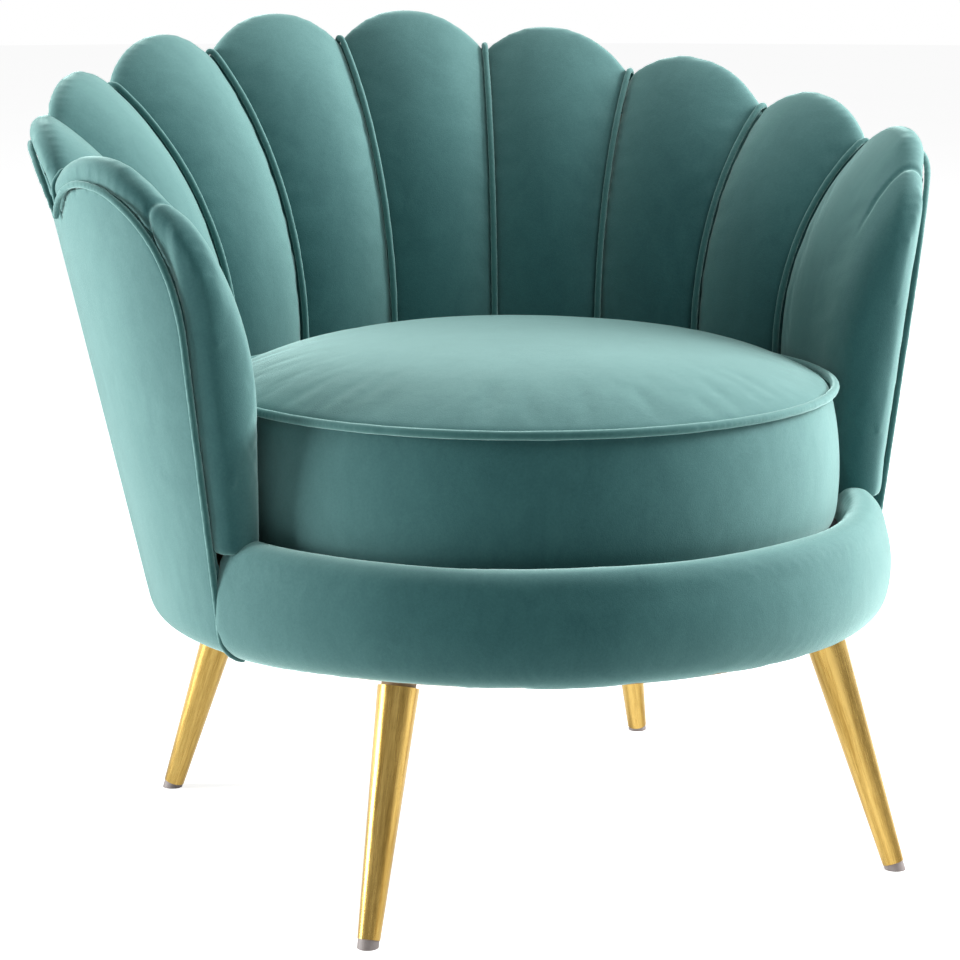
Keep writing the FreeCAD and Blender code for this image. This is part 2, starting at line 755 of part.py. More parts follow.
def leg_placement(bearing):
    """Frame of one leg: origin at its foot on the floor, local Z up along its leaning axis."""
    turn = math.radians(bearing)
    spread = size("foot_spread")
    foot = FreeCAD.Vector(spread * math.cos(turn), spread * math.sin(turn), 0)
    about = FreeCAD.Rotation(FreeCAD.Vector(0, 0, 1), bearing)
    lean = FreeCAD.Rotation(FreeCAD.Vector(0, 1, 0), -size("leg_lean"))
    return FreeCAD.Placement(foot, about * lean)


def copies_on_legs(shape):
    """The same shape in the frame of each leg."""
    placed = []
    for bearing in DIAGONALS.values():
        item = shape.copy()
        item.Placement = leg_placement(bearing).multiply(item.Placement)
        placed.append(item)
    return placed


def slab(bottom, top):
    """A level slab wider than the chair, to trim leaning pieces flat."""
    wide = 4 * size("foot_spread")
    corner = FreeCAD.Vector(-wide / 2, -wide / 2, bottom)
    return Part.makeBox(wide, wide, top - bottom, corner)


def along_leg(height):
    """Length along a leg's axis from the floor up to a height."""
    return height / math.cos(math.radians(size("leg_lean")))


def add_base():
    """Base board with leaning holes for the inserts, seat ring, and blocks between them."""
    board = doc.addObject("PartDesign::Body", "base_board_blank")
    pad(board, circles_sketch(board, ["Sizes.board_radius", "Sizes.board_hole"]), "Sizes.board_thickness")
    board.setExpression("Placement.Base.z", BOARD_BOTTOM_FORMULA)
    doc.recompute()
    bore = Part.makeCylinder(size("insert_radius") + FIT, along_leg(BOARD_TOP) + 4 * size("board_thickness"))
    holes = doc.addObject("Part::Feature", "insert_holes")
    holes.Shape = Part.makeCompound(copies_on_legs(bore))
    cut = doc.addObject("Part::Cut", "base_board")
    cut.Base = board
    cut.Tool = holes
    keep(cut, "base_board")
    disc(
        "seat_ring",
        [RING_RADIUS_FORMULA, RING_RADIUS_FORMULA + " - Sizes.seat_ring_width"],
        "Sizes.board_thickness",
        RING_BOTTOM_FORMULA,
    )
    block = Part.makeBox(size("spacer_width"), size("spacer_length"), size("spacer_height"))
    middle = RING_RADIUS - size("seat_ring_width") / 2
    block.translate(FreeCAD.Vector(middle - size("spacer_width") / 2, -size("spacer_length") / 2, BOARD_TOP))
    count = int(size("spacer_count"))
    turned = []
    for index in range(count):
        item = block.copy()
        item.rotate(FreeCAD.Vector(0, 0, 0), FreeCAD.Vector(0, 0, 1), 360.0 * (index + 0.5) / count)
        turned.append(item)
    part_feature("spacer_blocks", Part.makeCompound(turned))


def add_webbing():
    """Straps across the seat ring: front to back, and side to side on top of them."""
    width = size("web_width")
    thickness = size("web_thickness")
    count = int(size("web_count"))
    reach = RING_RADIUS - FIT
    front_to_back = []
    side_to_side = []
    for index in range(count):
        middle = (index - (count - 1) / 2) * size("web_pitch")
        half = math.sqrt(reach ** 2 - (abs(middle) + width / 2) ** 2)
        start = FreeCAD.Vector(middle - width / 2, -half, RING_TOP)
        front_to_back.append(Part.makeBox(width, 2 * half, thickness, start))
        start = FreeCAD.Vector(-half, middle - width / 2, RING_TOP + thickness)
        side_to_side.append(Part.makeBox(2 * half, width, thickness, start))
    part_feature("webbing_front_to_back", Part.makeCompound(front_to_back))
    part_feature("webbing_side_to_side", Part.makeCompound(side_to_side))


def add_deck():
    """Foam deck on the webbing, its cloth, and the dust cover under the base board."""
    forward = size("cushion_forward")
    cloth_bottom = DECK_BOTTOM_FORMULA + " + Sizes.deck_foam"
    disc("deck_pad", [DECK_RADIUS_FORMULA], "Sizes.deck_foam", DECK_BOTTOM_FORMULA, forward)
    disc("deck_cloth", [DECK_RADIUS_FORMULA], "Sizes.deck_cloth", cloth_bottom, forward)
    cloth_radius = size("board_radius") - size("wrap_lap") - FIT
    cloth = Part.makeCylinder(cloth_radius, size("dust_cloth"))
    cloth.translate(FreeCAD.Vector(0, 0, BOARD_BOTTOM - size("dust_cloth")))
    hole = Part.makeCylinder(size("wedge_radius") + 2 * FIT, along_leg(BOARD_TOP))
    part_feature("dust_cover", cloth.cut(copies_on_legs(hole)))


def front_angle():
    """Width of the front, between the arms' edges, less a clearance at both ends."""
    piping = math.degrees((size("welt_radius") + FIT) / size("rail_full"))
    return 360 - 2 * size("arm_edge_angle") - 2 * piping


def face_front(body, turn):
    """Turns a body that was revolved from +X, so that it lies evenly about the front."""
    spin = FreeCAD.Rotation(FreeCAD.Vector(0, 0, 1), -90 - turn / 2)
    body.Placement = FreeCAD.Placement(FreeCAD.Vector(0, 0, 0), spin)


def add_front_rail():
    """Bent board round the front of the seat, and its puffy pad."""
    board_out = "Sizes.board_radius"
    board_in = "Sizes.board_radius - Sizes.rail_board_thickness"
    board_foot = BOARD_BOTTOM_FORMULA + " + Sizes.board_thickness"
    board_head = board_foot + " + Sizes.rail_board_height"
    turn = front_angle()
    board = new_body("front_rail_board")
    corners = [
        (board_in, board_foot),
        (board_out, board_foot),
        (board_out, board_head),
        (board_in, board_head),
    ]
    revolve(board, profile_sketch(board, corners), turn)
    face_front(board, turn)
    rail = new_body("front_rail_pad")
    top = board_head + " + Sizes.rail_crown"
    under = "Sizes.under_height"
    deck = DECK_BOTTOM_FORMULA
    corners = [
        ("Sizes.rail_inner", deck + " + Sizes.fit"),
        (board_in + " - Sizes.fit", deck + " + Sizes.fit"),
        (board_in + " - Sizes.fit", board_head + " + Sizes.fit"),
        (board_out + " + Sizes.fit", board_head + " + Sizes.fit"),
        (board_out + " + Sizes.fit", BOARD_BOTTOM_FORMULA + " - Sizes.fit"),
        (board_out + " - Sizes.wrap_lap", BOARD_BOTTOM_FORMULA + " - Sizes.fit"),
        (board_out + " - Sizes.wrap_lap", under),
        (board_out + " - Sizes.wrap_lap / 2", under, "Sizes.rail_heel * 1.3"),
        ("Sizes.rail_full", under + " + Sizes.rail_heel", "Sizes.rail_bow"),
        ("Sizes.rail_shoulder", top + " - Sizes.rail_shoulder_drop", "Sizes.rail_shoulder_drop"),
        ("Sizes.rail_inner + Sizes.rail_crown", top, "Sizes.rail_crown + 4"),
        ("Sizes.rail_inner", top + " - Sizes.rail_crown / 2"),
    ]
    revolve(rail, profile_sketch(rail, corners), turn)
    face_front(rail, turn)


def add_cushion():
    """Loose round seat cushion: bulging side, shoulder and crown, and the piping in its top seam."""
    body = new_body("seat_cushion")
    full = "Sizes.cushion_radius"
    seam = full + " - Sizes.cushion_tuck"
    crown_edge = seam + " - Sizes.crown_shoulder_width"
    crown_rise = "(Sizes.crown_height - Sizes.crown_shoulder)"
    crown_bow = "(%s) ^ 2 / (2 * %s) + %s / 2" % (crown_edge, crown_rise, crown_rise)
    corners = [
        ("0", "0"),
        (full + " - Sizes.cushion_foot - Sizes.cushion_edge", "0", "Sizes.cushion_edge * 1.1"),
        (full + " - Sizes.cushion_foot", "Sizes.cushion_edge", "Sizes.cushion_bow"),
        (seam, "Sizes.cushion_side", "Sizes.crown_shoulder_bow"),
        (crown_edge, "Sizes.cushion_side + Sizes.crown_shoulder", crown_bow),
        ("0", "Sizes.cushion_side + Sizes.crown_height"),
    ]
    revolve(body, profile_sketch(body, corners))
    body.Placement = FreeCAD.Placement(
        FreeCAD.Vector(0, -size("cushion_forward"), CUSHION_BOTTOM), FreeCAD.Rotation()
    )
    welt = doc.addObject("Part::Torus", "cushion_welt")
    welt.setExpression("Radius1", seam + " + Sizes.cushion_welt + Sizes.fit")
    welt.setExpression("Radius2", "Sizes.cushion_welt")
    height = CUSHION_BOTTOM + size("cushion_side")
    welt.Placement = FreeCAD.Placement(
        FreeCAD.Vector(0, -size("cushion_forward"), height), FreeCAD.Rotation()
    )
    keep(welt, "cushion_welt")


def add_legs():
    """Four tapered tubes with their end plugs, wedge blocks, studs, inserts and glides."""
    lean = math.radians(size("leg_lean"))
    foot = size("glide_height") / math.cos(lean)
    head = along_leg(LEG_TOP)
    wall = size("leg_wall")
    radii = (size("leg_foot_radius"), size("leg_top_radius"))
    tube_out = Part.makeCone(radii[0], radii[1], head - foot, FreeCAD.Vector(0, 0, foot))
    tube_in = Part.makeCone(
        radii[0] - wall, radii[1] - wall, head - foot, FreeCAD.Vector(0, 0, foot)
    )
    for name, bearing in DIAGONALS.items():
        part_feature("leg_" + name, tube_out.cut(tube_in), leg_placement(bearing))
    bore = size("stud_radius") + FIT
    plug_height = size("plug_thickness")
    taper = (radii[1] - radii[0]) / (head - foot)
    inside = radii[1] - wall - FIT
    low = FreeCAD.Vector(0, 0, head - plug_height)
    plug = Part.makeCone(inside - taper * plug_height, inside, plug_height, low)
    plug = plug.cut(Part.makeCylinder(bore, head))
    part_feature("leg_plugs", Part.makeCompound(copies_on_legs(plug)))
    wedge = Part.makeCylinder(size("wedge_radius"), head, FreeCAD.Vector(0, 0, head))
    wedge = wedge.cut(Part.makeCylinder(bore, 2 * head))
    below = slab(0, BOARD_BOTTOM)
    part_feature("wedge_blocks", Part.makeCompound([w.common(below) for w in copies_on_legs(wedge)]))
    insert = Part.makeCylinder(size("insert_radius"), head, FreeCAD.Vector(0, 0, head))
    insert = insert.cut(Part.makeCylinder(bore, 2 * head))
    within = slab(BOARD_BOTTOM, BOARD_TOP)
    part_feature("threaded_inserts", Part.makeCompound([i.common(within) for i in copies_on_legs(insert)]))
    reach = size("stud_reach")
    length = reach + along_leg(BOARD_TOP) - head
    stud = Part.makeCylinder(size("stud_radius"), 2 * length, FreeCAD.Vector(0, 0, head - reach))
    below = slab(0, BOARD_TOP)
    part_feature("leg_studs", Part.makeCompound([t.common(below) for t in copies_on_legs(stud)]))
    cap = Part.makeCylinder(radii[0] - size("glide_inset"), 3 * foot, FreeCAD.Vector(0, 0, -2 * foot))
    neck = Part.makeCylinder(radii[0] - wall - FIT, size("glide_plug"), FreeCAD.Vector(0, 0, foot))
    above = slab(0, BOARD_BOTTOM)
    glides = [g.common(above) for g in copies_on_legs(cap.fuse(neck))]
    part_feature("glides", Part.makeCompound(glides))


add_base()
add_webbing()
add_deck()
add_front_rail()
add_back_frame()
add_channels()
add_channel_welts()
add_arm_fronts()
add_outside_cover()
add_outline_welt()
add_cushion()
add_legs()
doc.recompute()


def centre_shift():
    """Move along Y that puts the middle of the chair's depth over the origin."""
    crest = size("channel_angle") / 2
    back = outline_point(crest, 1.0).y + size("welt_radius")
    return (size("rail_full") + FIT - back) / 2


over_origin = FreeCAD.Placement(FreeCAD.Vector(0, centre_shift(), 0), FreeCAD.Rotation())
for item in pieces:
    item.Placement = over_origin.multiply(item.Placement)
doc.recompute()

for item in doc.Objects:
    if "Invalid" in item.State or "Error" in item.State:
        raise ValueError("%s failed: %s" % (item.Label, item.State))
for item in pieces:
    if item.Shape.isNull() or not item.Shape.isValid():
        raise ValueError("%s has no valid shape" % item.Label)

os.makedirs("parts", exist_ok=True)
for item in pieces:
    item.Shape.exportStep(os.path.join("parts", item.Label + ".step"))
    print("%-24s %2d solids %12.1f mm3" % (item.Label, len(item.Shape.Solids), item.Shape.Volume))
print(len(pieces), "pieces")
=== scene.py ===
"""Scallop back chair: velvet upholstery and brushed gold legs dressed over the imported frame."""

import logging
import math
from collections.abc import Callable, Iterable
from dataclasses import dataclass, field
from enum import Enum

import bmesh
import bpy
import numpy as np
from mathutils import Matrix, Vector, noise


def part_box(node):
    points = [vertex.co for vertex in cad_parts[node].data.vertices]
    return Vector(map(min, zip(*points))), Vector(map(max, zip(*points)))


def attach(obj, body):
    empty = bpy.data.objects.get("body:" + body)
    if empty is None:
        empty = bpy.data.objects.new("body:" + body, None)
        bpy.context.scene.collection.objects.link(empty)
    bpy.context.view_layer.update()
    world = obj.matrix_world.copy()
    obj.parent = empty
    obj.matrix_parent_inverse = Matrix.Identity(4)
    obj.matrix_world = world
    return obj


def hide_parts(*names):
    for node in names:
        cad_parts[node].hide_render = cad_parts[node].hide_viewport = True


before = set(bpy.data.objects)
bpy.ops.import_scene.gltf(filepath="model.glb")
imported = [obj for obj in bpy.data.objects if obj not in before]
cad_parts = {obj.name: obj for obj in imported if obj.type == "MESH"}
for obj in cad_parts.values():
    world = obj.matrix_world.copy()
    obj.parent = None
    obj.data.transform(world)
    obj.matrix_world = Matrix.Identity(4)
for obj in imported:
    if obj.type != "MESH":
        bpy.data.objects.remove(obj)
NODES: dict[str, bpy.types.Object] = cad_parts
log = logging.getLogger("scallop_chair")

Shape = Callable[[np.ndarray, np.ndarray], np.ndarray]


class Body(Enum):
    """Bodies of the chair that pieces ride on."""

    CHAIR = "chair"
    CUSHION = "cushion"


class Slot(Enum):
    """Material slots of the record."""

    VELVET = "velvet"
    PIPING = "piping"
    LEG = "leg_metal"
    STEEL = "steel"
    BRASS = "brass_insert"
    PLYWOOD = "plywood"
    WEBBING = "webbing"
    LINING = "lining_cloth"
    FOAM = "foam"
    GLIDE = "glide"


class Side(Enum):
    """Left and right arm, seen from the front of the chair."""

    LEFT = -1
    RIGHT = 1


# Helpers on meshes
def only(piece: bpy.types.Object) -> None:
    """Select one object alone and make it active.

    Args:
        piece: The object that the next operator works on.
    """
    for other in bpy.context.selected_objects:
        other.select_set(False)
    piece.select_set(True)
    bpy.context.view_layer.objects.active = piece


def apply(piece: bpy.types.Object, name: str) -> None:
    """Apply one modifier of a piece."""
    only(piece)
    bpy.ops.object.modifier_apply(modifier=name)


def coordinates(piece: bpy.types.Object) -> np.ndarray:
    """Points of a piece's mesh.

    Args:
        piece: Mesh object at the origin.

    Returns:
        One row of x, y, z per vertex.
    """
    points = np.empty(len(piece.data.vertices) * 3)
    piece.data.vertices.foreach_get("co", points)
    return points.reshape(-1, 3)


def normals(piece: bpy.types.Object) -> np.ndarray:
    """Vertex normals of a piece's mesh, one row per vertex."""
    values = np.empty(len(piece.data.vertices) * 3)
    piece.data.vertices.foreach_get("normal", values)
    return values.reshape(-1, 3)


def place(piece: bpy.types.Object, points: np.ndarray) -> None:
    """Write new points into a piece's mesh."""
    piece.data.vertices.foreach_set("co", points.reshape(-1))
    piece.data.update()


def smoothstep(low: float, high: float, value: np.ndarray) -> np.ndarray:
    """Smooth rise from 0 at low to 1 at high."""
    share = np.clip((value - low) / (high - low), 0.0, 1.0)
    return share * share * (3 - 2 * share)


def taken_from(nodes: tuple[str, ...], name: str) -> bpy.types.Object:
    """A new object with a merged copy of some nodes' meshes.

    Args:
        nodes: Names of the nodes whose form the piece takes.
        name: Name of the new piece.

    Returns:
        The new object, at the origin.
    """
    joined = bmesh.new()
    for node in nodes:
        joined.from_mesh(NODES[node].data)
    mesh = bpy.data.meshes.new(name)
    joined.to_mesh(mesh)
    joined.free()
    piece = bpy.data.objects.new(name, mesh)
    bpy.context.scene.collection.objects.link(piece)
    only(piece)
    if mesh.has_custom_normals:
        bpy.ops.mesh.customdata_custom_splitnormals_clear()
    bpy.ops.object.mode_set(mode="EDIT")
    bpy.ops.mesh.select_all(action="SELECT")
    bpy.ops.mesh.remove_doubles(threshold=0.00002)
    bpy.ops.mesh.normals_make_consistent(inside=False)
    bpy.ops.object.mode_set(mode="OBJECT")
    return piece


def remesh(piece: bpy.types.Object, voxel: float, relax: int) -> None:
    """Give a piece an even skin of quads.

    Args:
        piece: Closed mesh.
        voxel: Width of a quad, in metres.
        relax: Rounds of smoothing that take out the steps.
    """
    skin = piece.modifiers.new("skin", "REMESH")
    skin.mode = "VOXEL"
    skin.voxel_size = voxel
    apply(piece, "skin")
    if relax:
        calm = piece.modifiers.new("calm", "SMOOTH")
        calm.factor = 0.5
        calm.iterations = relax
        apply(piece, "calm")


def calm_down(piece: bpy.types.Object, weights: np.ndarray, rounds: int) -> None:
    """Smooth part of a piece.

    Args:
        piece: The piece.
        weights: How far each point takes part, 0 to 1.
        rounds: Rounds of smoothing.
    """
    group = piece.vertex_groups.new(name="calmed")
    for index in np.flatnonzero(weights > 0.01):
        group.add([int(index)], float(weights[index]), "REPLACE")
    calm = piece.modifiers.new("calm", "SMOOTH")
    calm.factor = 0.5
    calm.iterations = rounds
    calm.vertex_group = "calmed"
    apply(piece, "calm")
    piece.vertex_groups.clear()


def refine(piece: bpy.types.Object, levels: int = 1) -> None:
    """Subdivide a piece and apply it."""
    fine = piece.modifiers.new("fine", "SUBSURF")
    fine.levels = levels
    fine.render_levels = levels
    apply(piece, "fine")


def shade(piece: bpy.types.Object, angle: float = 50.0) -> None:
    """Shade a piece smooth up to an angle in degrees."""
    only(piece)
    bpy.ops.object.shade_smooth_by_angle(angle=math.radians(angle))


def roughen(points: np.ndarray, scale: float, seed: float) -> np.ndarray:
    """Smooth noise at points.

    Args:
        points: One row of x, y, z per point.
        scale: Waves per metre.
        seed: Shift between one use and another.

    Returns:
        One value per point, about -1 to 1.
    """
    shift = Vector((seed, 1.7 * seed, -seed))
    return np.array([noise.noise(Vector(point) * scale + shift) for point in points])


# Node groups
class NodeKit:
    """Short way to lay out a material's or a group's nodes."""

    def __init__(self, tree: bpy.types.NodeTree) -> None:
        """Start on an empty tree."""
        self.tree = tree
        tree.nodes.clear()

    def node(self, kind: str, **settings: object) -> bpy.types.Node:
        """Add a node and set its properties.

        Args:
            kind: Blender's type name of the node.
            **settings: Properties of the node.

        Returns:
            The node.
        """
        made = self.tree.nodes.new(kind)
        for name, value in settings.items():
            setattr(made, name, value)
        return made

    def link(self, source: bpy.types.NodeSocket, target: bpy.types.NodeSocket) -> None:
        """Join two sockets."""
        self.tree.links.new(source, target)

    def noise(self, vector: bpy.types.NodeSocket, scale: object, detail: float, rough: float,
              distortion: float = 0.0) -> bpy.types.NodeSocket:
        """Add a noise texture.

        Args:
            vector: Where the noise is read.
            scale: Waves per metre, a number or a socket.
            detail: Octaves.
            rough: Share that each octave keeps.
            distortion: How far the waves are swirled.

        Returns:
            The noise's value.
        """
        made = self.node("ShaderNodeTexNoise")
        made.inputs["Detail"].default_value = detail
        made.inputs["Roughness"].default_value = rough
        made.inputs["Distortion"].default_value = distortion
        self.link(vector, made.inputs["Vector"])
        if isinstance(scale, bpy.types.NodeSocket):
            self.link(scale, made.inputs["Scale"])
        else:
            made.inputs["Scale"].default_value = scale
        return made.outputs["Fac"]

    def stretch(self, vector: bpy.types.NodeSocket, scale: tuple[float, float, float],
                turn: tuple[float, float, float] = (0, 0, 0)) -> bpy.types.NodeSocket:
        """Turn a vector, in radians, and stretch it."""
        made = self.node("ShaderNodeMapping", vector_type="TEXTURE")
        made.inputs["Rotation"].default_value = turn
        made.inputs["Scale"].default_value = [1 / value for value in scale]
        self.link(vector, made.inputs["Vector"])
        return made.outputs["Vector"]

    def math(self, kind: str, first: object, second: object = 0.0) -> bpy.types.NodeSocket:
        """Add a math node on numbers or sockets."""
        made = self.node("ShaderNodeMath", operation=kind)
        for index, value in enumerate((first, second)):
            if isinstance(value, bpy.types.NodeSocket):
                self.link(value, made.inputs[index])
            else:
                made.inputs[index].default_value = value
        return made.outputs[0]

    def spread(self, value: bpy.types.NodeSocket, low: float, high: float, start: float,
               end: float) -> bpy.types.NodeSocket:
        """Map low..high of a value to start..end."""
        made = self.node("ShaderNodeMapRange")
        ends = {"From Min": low, "From Max": high, "To Min": start, "To Max": end}
        for name, number in ends.items():
            made.inputs[name].default_value = number
        self.link(value, made.inputs["Value"])
        return made.outputs["Result"]

    def blend(self, share: bpy.types.NodeSocket, first: tuple[float, ...],
              second: tuple[float, ...]) -> bpy.types.NodeSocket:
        """Mix two colours by a value."""
        made = self.node("ShaderNodeMix", data_type="RGBA")
        self.link(share, made.inputs["Factor"])
        made.inputs["A"].default_value = (*first, 1)
        made.inputs["B"].default_value = (*second, 1)
        return made.outputs["Result"]

    def bump(self, height: bpy.types.NodeSocket, strength: float,
             distance: float) -> bpy.types.NodeSocket:
        """Turn a height into a normal."""
        made = self.node("ShaderNodeBump")
        made.inputs["Strength"].default_value = strength
        made.inputs["Distance"].default_value = distance
        self.link(height, made.inputs["Height"])
        return made.outputs["Normal"]


def new_group(name: str, inputs: dict[str, float],
              outputs: Iterable[str]) -> tuple[NodeKit, bpy.types.Node, bpy.types.Node]:
    """Make an empty shader node group with a vector input, values and outputs.

    Args:
        name: Name of the group.
        inputs: Names and defaults of its value inputs.
        outputs: Names of its value outputs.
    """
    tree = bpy.data.node_groups.new(name, "ShaderNodeTree")
    tree.interface.new_socket("Vector", in_out="INPUT", socket_type="NodeSocketVector")
    for label, default in inputs.items():
        made = tree.interface.new_socket(label, in_out="INPUT", socket_type="NodeSocketFloat")
        made.default_value = default
    for label in outputs:
        tree.interface.new_socket(label, in_out="OUTPUT", socket_type="NodeSocketFloat")
    kit = NodeKit(tree)
    return kit, kit.node("NodeGroupInput"), kit.node("NodeGroupOutput")


def pile_group() -> bpy.types.NodeTree:
    """Velvet's pile: broad nap shading, brushed marks and fine fibres."""
    kit, source, sink = new_group("velvet_pile", {"Broad": 5.0, "Marks": 38.0, "Fibres": 900.0},
                                  ("Nap", "Fibre"))
    vector = source.outputs["Vector"]
    upright = kit.stretch(vector, (1.0, 1.0, 0.35))
    broad = kit.noise(upright, source.outputs["Broad"], 3.0, 0.55, 0.6)
    marks = kit.noise(kit.stretch(vector, (1.0, 1.0, 0.6)), source.outputs["Marks"], 4.0, 0.6, 1.2)
    fibre = kit.noise(vector, source.outputs["Fibres"], 2.0, 0.7)
    speckle = kit.noise(vector, 420.0, 3.0, 0.75)
    nap = kit.math("ADD", kit.spread(broad, 0.3, 0.7, 0.0, 0.42),
                   kit.spread(marks, 0.3, 0.7, 0.0, 0.28))
    nap = kit.math("ADD", nap, kit.spread(speckle, 0.3, 0.7, 0.0, 0.30))
    kit.link(nap, sink.inputs["Nap"])
    kit.link(kit.math("ADD", fibre, kit.math("MULTIPLY", marks, 0.6)), sink.inputs["Fibre"])
    return kit.tree


def brushing_group() -> bpy.types.NodeTree:
    """Long fine scratches of brushed metal along the vector's Z, mixed with broader painted
    reflection streaks along Z, and faint soft smears.
    """
    kit, source, sink = new_group("brushing_and_painted_reflections", {"Lines": 900.0, "Bands": 150.0},
                                  ("Lines", "Smears"))
    vector = source.outputs["Vector"]
    long = kit.stretch(vector, (1.0, 1.0, 0.012))
    fine = kit.noise(long, source.outputs["Lines"], 3.0, 0.6)
    # Painted reflection: broad bands along Z that mix into the streaks like reflected dark and
    # light lines.
    painted_reflection_bands = kit.noise(long, source.outputs["Bands"], 2.0, 0.5)
    kit.link(kit.math("ADD", kit.math("MULTIPLY", fine, 0.35), kit.math("MULTIPLY", painted_reflection_bands, 0.65)),
             sink.inputs["Lines"])
    kit.link(kit.noise(vector, 30.0, 3.0, 0.6), sink.inputs["Smears"])
    return kit.tree


def weave_group() -> bpy.types.NodeTree:
    """Plain weave of threads that run along X and Y."""
    kit, source, sink = new_group("plain_weave", {"Threads": 500.0}, ("Weave", "Dust"))
    vector = source.outputs["Vector"]
    split = kit.node("ShaderNodeSeparateXYZ")
    kit.link(vector, split.inputs[0])
    turn = kit.math("MULTIPLY", source.outputs["Threads"], math.pi)
    warp = kit.math("SINE", kit.math("MULTIPLY", split.outputs[0], turn))
    weft = kit.math("SINE", kit.math("MULTIPLY", split.outputs[1], turn))
    kit.link(kit.spread(kit.math("MULTIPLY", warp, weft), -1, 1, 0, 1), sink.inputs["Weave"])
    kit.link(kit.noise(vector, 22.0, 4.0, 0.6), sink.inputs["Dust"])
    return kit.tree


def grain_group() -> bpy.types.NodeTree:
    """Wood grain along X with fibre streaks."""
    kit, source, sink = new_group("veneer_grain", {"Rings": 26.0}, ("Grain", "Fibre"))
    vector = source.outputs["Vector"]
    long = kit.stretch(vector, (0.08, 1.0, 1.0))
    rings = kit.noise(long, source.outputs["Rings"], 3.0, 0.5, 1.5)
    kit.link(rings, sink.inputs["Grain"])
    streaks = kit.stretch(vector, (0.03, 1.0, 1.0))
    kit.link(kit.noise(streaks, 420.0, 2.0, 0.6), sink.inputs["Fibre"])
    return kit.tree


class Effects:
    """The node groups that the finishes share, each made once."""

    pile: bpy.types.NodeTree
    brushing: bpy.types.NodeTree
    weave: bpy.types.NodeTree
    grain: bpy.types.NodeTree

    @classmethod
    def build(cls) -> None:
        """Make the groups."""
        cls.pile = pile_group()
        cls.brushing = brushing_group()
        cls.weave = weave_group()
        cls.grain = grain_group()


# Finishes
@dataclass(frozen=True)
class Finish:
    """What every finish has: a name, a roughness, and a material made from them."""

    name: str
    roughness: float = 0.6

    def start(self) -> tuple[bpy.types.Material, NodeKit, bpy.types.Node, bpy.types.NodeSocket]:
        """Make the material with its shader.
        """
        material = bpy.data.materials.new(self.name)
        material.use_nodes = True
        kit = NodeKit(material.node_tree)
        shader = kit.node("ShaderNodeBsdfPrincipled")
        output = kit.node("ShaderNodeOutputMaterial")
        kit.link(shader.outputs[0], output.inputs["Surface"])
        shader.inputs["Roughness"].default_value = self.roughness
        return material, kit, shader, kit.node("ShaderNodeTexCoord").outputs["Object"]

    def group(self, kit: NodeKit, tree: bpy.types.NodeTree, vector: bpy.types.NodeSocket,
              **values: float) -> bpy.types.Node:
        """Place a shared group in the material with its own values."""
        made = kit.node("ShaderNodeGroup", node_tree=tree)
        kit.link(vector, made.inputs["Vector"])
        for label, value in values.items():
            made.inputs[label].default_value = value
        return made


@dataclass(frozen=True)
class Velvet(Finish):
    """Short-pile velvet: deep where the nap leans away, lighter where it is brushed, with a painted
    sheen that turns the base colour lighter where the surface is seen at a glancing angle.
    """

    deep: tuple[float, float, float] = (0.020, 0.088, 0.093)
    brushed: tuple[float, float, float] = (0.046, 0.156, 0.156)
    # Painted sheen: the lighter base colours the velvet takes where it is seen at a glancing angle.
    painted_sheen_low: tuple[float, float, float] = (0.235, 0.455, 0.440)
    painted_sheen_high: tuple[float, float, float] = (0.335, 0.600, 0.575)
    sheen: float = 1.0
    sheen_tint: tuple[float, float, float] = (0.66, 0.94, 0.90)
    sheen_roughness: float = 0.34
    gloss: float = 0.2
    # Painted sheen: how far and how sharply the lighter base colour spreads with the viewing angle.
    painted_sheen_falloff: float = 0.42
    painted_sheen_power: float = 1.15
    marks: float = 38.0
    pile_depth: float = 0.0005
    roughness: float = 0.78

    def material(self) -> bpy.types.Material:
        """The velvet as a material."""
        material, kit, shader, vector = self.start()
        pile = self.group(kit, Effects.pile, vector, Marks=self.marks)
        nap = kit.blend(pile.outputs["Nap"], self.deep, self.brushed)
        # Painted sheen: Layer Weight's Facing mixes the base colour from the nap tone toward the
        # lighter sheen colours at glancing angles.
        painted_sheen_falloff = kit.node("ShaderNodeLayerWeight")
        painted_sheen_falloff.inputs["Blend"].default_value = self.painted_sheen_falloff
        lit = kit.node("ShaderNodeMix", data_type="RGBA")
        glow = kit.math("POWER", painted_sheen_falloff.outputs["Facing"], self.painted_sheen_power)
        kit.link(glow, lit.inputs["Factor"])
        kit.link(nap, lit.inputs["A"])
        kit.link(kit.blend(pile.outputs["Nap"], self.painted_sheen_low, self.painted_sheen_high), lit.inputs["B"])
        kit.link(lit.outputs["Result"], shader.inputs["Base Color"])
        softness = kit.spread(pile.outputs["Nap"], 0, 1, self.roughness + 0.07,
                              self.roughness - 0.08)
        kit.link(softness, shader.inputs["Roughness"])
        kit.link(kit.bump(pile.outputs["Fibre"], 0.5, self.pile_depth), shader.inputs["Normal"])
        shader.inputs["Sheen Weight"].default_value = self.sheen
        shader.inputs["Sheen Roughness"].default_value = self.sheen_roughness
        shader.inputs["Sheen Tint"].default_value = (*self.sheen_tint, 1)
        shader.inputs["Specular IOR Level"].default_value = self.gloss
        return material


